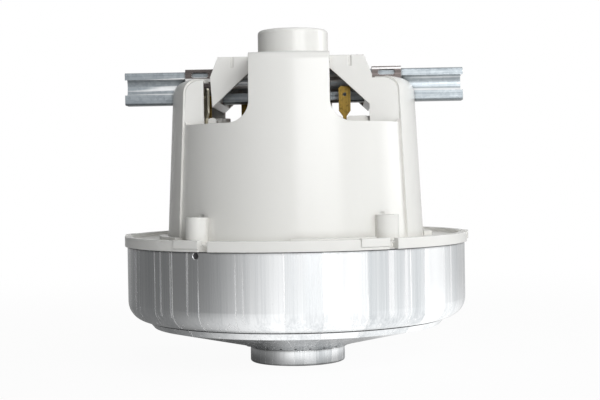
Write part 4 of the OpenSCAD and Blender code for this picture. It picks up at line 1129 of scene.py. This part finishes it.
@dataclass
class Armature(SubAssembly):
    """The shaft with the wound armature and the commutator.

    Attributes:
        slots: Number of armature slots.
        slot_r: Distance of the slots from the shaft axis.
        reach: Number of slots that a coil spans.
        head: Height of the winding heads above the end discs.
        low_z: Height of the lower end disc's outer face.
        top_z: Height of the upper end disc's outer face.
        inner_r: Distance from the axis at which the coils pass the shaft.
        wire_r: Radius of a winding wire.
        wires: Number of wires that are seen side by side in a coil.
        bars: Number of commutator bars.
        hook_r: Distance of the wire hooks from the axis.
        hook_z: Height of the wire hooks.
        lead_r: Radius of the leads to the commutator.
        slot_wire_r: Radius of a wire in a slot.
        slot_ring_r: Distance of a slot's outer wires from its middle.
    """

    slots: int = 12
    slot_r: float = 15.5 * MM
    reach: int = 5
    head: float = 6.0 * MM
    low_z: float = 65.2 * MM
    top_z: float = 96.8 * MM
    inner_r: float = 10.6 * MM
    wire_r: float = 0.44 * MM
    wires: int = 5
    bars: int = 24
    hook_r: float = 14.1 * MM
    hook_z: float = 104.6 * MM
    lead_r: float = 0.3 * MM
    slot_wire_r: float = 0.85 * MM
    slot_ring_r: float = 1.75 * MM

    def head_path(self, slot: int, wire: int, up: int) -> list[Vector]:
        """Gives the way of one wire over a winding head.

        Args:
            slot: Number of the slot that it leaves.
            wire: Number of the wire in its coil.
            up: 1 for the upper head, -1 for the lower one.

        Returns:
            Points from the first slot to the slot where it goes down again.
        """
        steps = 22
        bend = 0.08
        spacing = 2.05 * self.wire_r
        climb = self.head - 3.4 * self.wire_r
        base = self.top_z if up > 0 else self.low_z
        beside = (wire - (self.wires - 1) / 2) * spacing
        points = []
        for step in range(steps + 1):
            t = step / steps
            angle = math.tau * (slot + self.reach * t) / self.slots
            dip = math.sin(math.pi * t)
            radius = self.slot_r - (self.slot_r - self.inner_r) * dip + beside
            rise = min(1.0, t / bend, (1.0 - t) / bend)
            height = rise * (self.wire_r + climb * t)
            points.append(Vector((radius * math.cos(angle), radius * math.sin(angle), base + up * height)))
        return points

    def lead_path(self, bar: int) -> list[Vector]:
        """Gives the way of the lead from the upper head round one commutator hook.

        Args:
            bar: Number of the commutator bar.

        Returns:
            Points from the head to the end of the lead.
        """
        angle = math.tau * (bar + 0.5) / self.bars
        # Each stop has a distance from the axis, an angle from the bar's middle and a height.
        stops = (
            (15.6 * MM, -0.16, self.top_z + self.head - 2.4 * MM),
            (15.3 * MM, -0.10, self.top_z + self.head - 0.9 * MM),
            (14.6 * MM, -0.05, self.top_z + self.head + 0.3 * MM),
            (self.hook_r, -0.01, self.hook_z - 0.6 * MM),
            (self.hook_r, 0.03, self.hook_z + 0.3 * MM),
            (self.hook_r - 0.5 * MM, 0.05, self.hook_z + 0.9 * MM),
        )
        return [Vector((r * math.cos(angle + a), r * math.sin(angle + a), z)) for r, a, z in stops]

    def build(self) -> None:
        """Builds the armature's wires, from the slots over both heads to the commutator."""
        wires = WireMesh()
        for slot in range(self.slots):
            for wire in range(self.wires):
                for up in (-1, 1):
                    wires.sweep(self.head_path(slot, wire, up), self.wire_r, sides=6)
            self.fill_slot(wires, slot)
        for bar in range(self.bars):
            wires.sweep(self.lead_path(bar), self.lead_r, sides=6)
        self.add("armature_wires", wires, WIRE_COPPER, Body.ROTOR, "armature_winding")

    def fill_slot(self, wires: WireMesh, slot: int) -> None:
        """Adds the straight wires that fill one slot.

        Args:
            wires: The wires that they join.
            slot: Number of the slot.
        """
        angle = math.tau * slot / self.slots
        middle = Vector((self.slot_r * math.cos(angle), self.slot_r * math.sin(angle), 0.0))
        spots = [Vector((0.0, 0.0, 0.0))]
        for k in range(6):
            turn = angle + math.tau * k / 6
            spots.append(Vector((math.cos(turn), math.sin(turn), 0.0)) * self.slot_ring_r)
        for spot in spots:
            foot = middle + spot + Vector((0.0, 0.0, self.low_z))
            top = foot + Vector((0.0, 0.0, self.top_z - self.low_z))
            wires.sweep([foot, top], self.slot_wire_r, sides=8)

    def dress(self) -> None:
        """Paints the shaft, the stack, the end discs and the commutator."""
        self.paints.nodes(BARE_STEEL, "shaft")
        self.paints.nodes(STACK_IRON, "armature_core")
        self.paints.nodes(RESIN, "armature_discs", "commutator_hub")
        self.paints.nodes(BAR_COPPER, "commutator_bars")


@dataclass
class BrushGear(SubAssembly):
    """The brush tubes with their carbons, springs and braids, and the terminals.

    Attributes:
        back_x: Distance of a carbon's rear face from the shaft axis.
        plate_x: Distance of the plate that closes a tube.
        axis_z: Height of the brush tubes' axis.
        wire_r: Radius of the spring wire.
        curl_r: Radius of the spring at the middle of its wire.
        curls: Number of curls of a spring.
        travel: Way that a carbon can move outwards; not used.
        strand_r: Radius of one strand of a braid.
        wave: Swing of the slack braid.
    """

    back_x: float = 48.12 * MM
    plate_x: float = 68.8 * MM
    axis_z: float = 115.7 * MM
    wire_r: float = 0.45 * MM
    curl_r: float = 2.5 * MM
    curls: int = 10
    travel: float = 10.0 * MM
    strand_r: float = 0.28 * MM
    wave: float = 0.8 * MM

    def spring(self, side: Side) -> WireMesh:
        """Shapes the spring behind one carbon, with closed end curls.

        Args:
            side: The tube that it lies in.

        Returns:
            The spring's wire.
        """
        steps = 26 * self.curls
        end_room = 1.1 * self.wire_r
        low = self.back_x + end_room
        length = self.plate_x - end_room - low
        end_gap = 2.0 * self.wire_r / length
        shut = 0.09
        path = []
        for step in range(steps + 1):
            t = step / steps
            along = min(max((t - shut) / (1.0 - 2.0 * shut), 0.0), 1.0)
            share = end_gap * min(t / shut, 1.0) + (1.0 - 2.0 * end_gap) * along
            share += end_gap * max((t - 1.0 + shut) / shut, 0.0)
            angle = math.tau * self.curls * t
            x = side.value * (low + length * share)
            y = side.value * self.curl_r * math.cos(angle)
            path.append(Vector((x, y, self.axis_z + self.curl_r * math.sin(angle))))
        wire = WireMesh()
        wire.sweep(path, self.wire_r, sides=10)
        return wire

    def braid(self, side: Side) -> WireMesh:
        """Shapes the braid inside one spring from three twisted strands.

        Args:
            side: The tube that it lies in.

        Returns:
            The braid's strands.
        """
        steps = 72
        twists = 6.0
        length = self.plate_x - self.back_x
        strands = WireMesh()
        for strand in range(3):
            path = []
            for step in range(steps + 1):
                t = step / steps
                angle = math.tau * (twists * t + strand / 3)
                y = self.strand_r * math.cos(angle)
                z = self.axis_z + self.wave * math.sin(2.0 * math.tau * t) + self.strand_r * math.sin(angle)
                path.append(Vector((side.value * (self.back_x + length * t), y, z)))
            strands.sweep(path, self.strand_r, sides=8)
        return strands

    def build(self) -> None:
        """Builds the springs and braids."""
        for side in Side:
            shapes = (
                ("coil_spring", self.spring(side), BARE_STEEL, "brush_spring"),
                ("twisted_braid", self.braid(side), BRAID_COPPER, "brush_braid"),
            )
            for name, shape, finish, node in shapes:
                piece = self.add(f"{name}_{side.word}", shape, finish, Body.FRAME, f"{node}_{side.word}")
                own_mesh(piece)

    def dress(self) -> None:
        """Paints the tubes, clips, plates, carbons and terminals."""
        for side in Side:
            self.paints.nodes(PLATED_STEEL, f"brush_tube_{side.word}", f"tube_plate_{side.word}")
            self.paints.nodes(CLIP_STEEL, f"tube_clip_{side.word}")
            self.paints.nodes(CARBON, f"brush_{side.word}")
            self.paints.nodes(TINNED_BRASS_PAINTED_LIGHT, f"brush_tab_{side.word}")
            self.paints.nodes(BRASS, f"brush_link_{side.word}")
        self.paints.nodes(BRASS, "mains_tab_front", "mains_tab_rear")


@dataclass
class Bearings(SubAssembly):
    """The two ball bearings, the damper round the upper one and its spring washer."""

    def dress(self) -> None:
        """Paints the bearings and what holds them."""
        for place in ("lower", "upper"):
            rings = (f"{place}_outer_ring", f"{place}_inner_ring", f"{place}_balls", f"{place}_shields")
            self.paints.nodes(BARE_STEEL, *rings)
        self.paints.nodes(BARE_STEEL, "preload_washer")
        self.paints.nodes(RUBBER, "bearing_damper")


@dataclass
class Fan(SubAssembly):
    """The fan on the shaft and the diffuser behind it."""

    def dress(self) -> None:
        """Paints the fan, its fixings and the diffuser."""
        self.paints.nodes(FAN_METAL, "fan_back_plate", "fan_front_plate", "fan_blades", "fan_spacer")
        self.paints.nodes(BARE_STEEL, "fan_washer", "fan_nut")
        self.paints.nodes(VANE_PLASTIC, "diffuser")
        self.paints.nodes(PLATED_STEEL, "diffuser_screws")


@dataclass
class Softbox:
    """One soft lamp.

    Attributes:
        name: Name of the lamp.
        place: Where it stands.
        size: Its width and height.
        power: Its power in watts.
        aim: The point that it faces.
    """

    name: str
    place: Point
    size: tuple[float, float]
    power: float
    aim: Point = (0.0, 0.0, 0.07)

    def build(self) -> None:
        """Hangs the lamp in the scene, out of the camera's sight."""
        lamp = bpy.data.lights.new(self.name, "AREA")
        lamp.shape = "RECTANGLE"
        lamp.size, lamp.size_y = self.size
        lamp.energy = self.power
        made = bpy.data.objects.new(self.name, lamp)
        made.location = self.place
        made.rotation_euler = (Vector(self.aim) - Vector(self.place)).to_track_quat("-Z", "Y").to_euler()
        made.visible_camera = False
        bpy.context.scene.collection.objects.link(made)


@dataclass
class Studio:
    """The floor, the white surround and the lamps.

    Attributes:
        lamps: The soft lamps.
        ambient: Level of the surround's light on the unit.
        dim_side: Share of the surround's light that comes from the far left.
        dim_world: Directions along X between which the surround and the mirrored floor brighten.
        dim_back: Share of the surround's light that comes from behind.
        dim_behind: Directions along Y between which the surround and the mirrored floor dim.
        floor_half: Half the floor's width.
        floor_drop: How far the floor lies under the inlet's rim.
        floor_tone: Brightness of the floor near the unit.
        paper_shade: Brightness of its darker specks against that.
        paper_scale: Scale of the specks.
        floor_white: Share of the surround's white in the floor near the unit.
        floor_mirror: Level of the floor that metal mirrors, in the unit's shade, beside it and far away.
        shaded_floor: Distances from the axis between which the mirrored floor leaves the unit's shade.
        lit_floor: Distances from the axis between which the mirrored floor leaves the lamps' light.
        fade: Distances from the axis between which the floor fades into the surround.
    """

    lamps: list[Softbox] = field(default_factory=lambda: [
        Softbox("key_softbox", (0.60, -1.37, 0.60), (1.15, 0.9), 15.7),
        Softbox("side_softbox", (1.2, 0.35, 0.50), (0.6, 0.9), 4.6),
        Softbox("top_softbox", (0.1, -0.1, 1.3), (1.0, 1.0), 3.0),
    ])
    ambient: float = 0.17
    dim_side: float = 0.165
    dim_world: tuple[float, float] = (-1.0, 0.05)
    dim_back: float = 0.62
    dim_behind: tuple[float, float] = (0.2, 0.85)
    floor_half: float = 6.0
    floor_drop: float = 0.2 * MM
    floor_tone: float = 0.93
    paper_shade: float = 0.97
    paper_scale: float = 900.0
    floor_white: float = 0.95
    floor_mirror: tuple[float, float, float] = (0.5, 1.2, 1.0)
    shaded_floor: tuple[float, float] = (0.03, 0.058)
    lit_floor: tuple[float, float] = (0.25, 0.5)
    fade: tuple[float, float] = (0.12, 0.55)

    def seen_ray(self, board: Board) -> bpy.types.NodeSocket:
        """Tells rays that see the surround from rays that carry light."""
        path = board.add("LightPath")
        return board.maths("MAXIMUM", path.outputs["Is Camera Ray"], path.outputs["Is Transmission Ray"])

    def shares(self, board: Board, direction: Feed) -> bpy.types.NodeSocket:
        """Dims the light that comes from the left and from behind.

        Args:
            board: The tree that asks.
            direction: The direction that the light comes from.

        Returns:
            The share of the light that is left.
        """
        axes = board.add("SeparateXYZ", {0: direction})
        left = board.spread(board.above(axes.outputs["X"], *self.dim_world), self.dim_side, 1.0)
        back = board.spread(board.above(axes.outputs["Y"], *self.dim_behind), 1.0, self.dim_back)
        return board.maths("MULTIPLY", left, back)

    def surround(self) -> None:
        """Makes the world white where it is seen, and dimmer from the left where it lights the unit."""
        world = bpy.data.worlds.new("white_surround")
        bpy.context.scene.world = world
        world.use_nodes = True
        board = Board(world.node_tree)
        board.tree.nodes.clear()
        share = self.shares(board, board.add("TexCoord").outputs["Generated"])
        mirrored = board.spread(board.add("LightPath").outputs["Is Glossy Ray"], self.ambient, 1.0)
        lit = board.maths("MULTIPLY", share, mirrored)
        level = board.maths("MAXIMUM", lit, self.seen_ray(board))
        light = board.add("Background", {"Color": (1.0, 1.0, 1.0), "Strength": level})
        board.add("OutputWorld", {"Surface": light.outputs[0]})

    def floor(self) -> None:
        """Lays a pale floor that takes the unit's shadow and fades into the surround."""
        half = self.floor_half
        mesh = bpy.data.meshes.new("studio_floor")
        corners = [(-half, -half, 0.0), (half, -half, 0.0), (half, half, 0.0), (-half, half, 0.0)]
        mesh.from_pydata(corners, [], [(0, 1, 2, 3)])
        made = bpy.data.objects.new("studio_floor", mesh)
        made.location.z = -self.floor_drop
        bpy.context.scene.collection.objects.link(made)
        material = bpy.data.materials.new("pale_floor")
        material.use_nodes = True
        board = Board(material.node_tree)
        board.tree.nodes.clear()
        paper = board.noise(board.place(), self.paper_scale, 3.0)
        tone = board.mix(paper, (self.floor_tone,) * 3, (self.floor_tone * self.paper_shade,) * 3)
        matt = board.add("BsdfDiffuse", {"Color": tone})
        flat = board.place((1.0, 1.0, 0.0))
        away = board.add("VectorMath", {0: flat}, operation="LENGTH").outputs["Value"]
        white = board.spread(board.above(away, *self.fade), self.floor_white, 1.0)
        from_side = self.shares(board, board.add("VectorMath", {0: flat}, operation="NORMALIZE").outputs[0])
        shaded, lit, far = self.floor_mirror
        from_shade = board.spread(board.above(away, *self.shaded_floor), shaded, lit)
        from_lamps = board.spread(board.above(away, *self.lit_floor), 1.0, far / lit)
        seen = self.seen_ray(board)
        mirrored = board.add("LightPath").outputs["Is Glossy Ray"]
        around = board.maths("MULTIPLY", from_shade, board.maths("MULTIPLY", from_lamps, from_side))
        level = board.maths("MAXIMUM", seen, board.maths("MULTIPLY", mirrored, around))
        glow = board.add("Emission", {"Color": (1.0, 1.0, 1.0), "Strength": level})
        share = board.maths("MAXIMUM", mirrored, board.maths("MULTIPLY", white, seen))
        blend = board.add("MixShader", {0: share, 1: matt.outputs[0], 2: glow.outputs[0]})
        board.add("OutputMaterial", {"Surface": blend.outputs[0]})
        mesh.materials.append(material)

    def build(self) -> None:
        """Sets up the surround, the floor and the lamps."""
        self.surround()
        self.floor()
        for lamp in self.lamps:
            lamp.build()
        bpy.context.scene.view_settings.view_transform = "Standard"
        log.info("studio: %d lamps", len(self.lamps))


@dataclass
class PhotoCamera:
    """The camera at the photograph's place.

    Attributes:
        image_w: Width of the picture in pixels.
        focal_px: Focal length in pixels.
        distance: Distance from the shaft axis.
        azimuth: Angle from the front towards +X, in degrees.
        height: Height over the floor.
        pitch: Angle below the horizon, in degrees.
        yaw: Turn to the right past the shaft axis, in degrees.
        roll: Turn about the line of sight, in degrees.
    """

    image_w: float = 600.0
    focal_px: float = 1260.0
    distance: float = 0.535
    azimuth: float = 2.25
    height: float = 77.6 * MM
    pitch: float = 1.05
    yaw: float = 0.21
    roll: float = -0.92

    def build(self) -> None:
        """Sets up the camera and makes it the scene's own."""
        camera = bpy.data.cameras.new("photo_camera")
        camera.sensor_width = 36.0
        camera.lens = self.focal_px / self.image_w * camera.sensor_width
        camera.clip_start = 0.01
        around = math.radians(self.azimuth)
        place = Vector((self.distance * math.sin(around), -self.distance * math.cos(around), self.height))
        heading = Matrix.Rotation(around - math.radians(self.yaw), 4, "Z")
        tilt = Matrix.Rotation(math.radians(90.0 - self.pitch), 4, "X")
        twist = Matrix.Rotation(math.radians(self.roll), 4, "Z")
        made = bpy.data.objects.new("photo_camera", camera)
        made.matrix_world = Matrix.Translation(place) @ heading @ tilt @ twist
        bpy.context.scene.collection.objects.link(made)
        bpy.context.scene.camera = made


def main() -> None:
    """Builds and dresses every sub-assembly, then the studio and the camera."""
    logging.basicConfig(level=logging.INFO, format="%(message)s")
    paints = Paints()
    for kind in (Housing, FanCase, Stator, Armature, BrushGear, Bearings, Fan):
        group = kind(paints)
        group.build()
        group.dress()
        log.info("%s is dressed", kind.__name__)
    Studio().build()
    PhotoCamera().build()


if __name__ == "__main__":
    main()
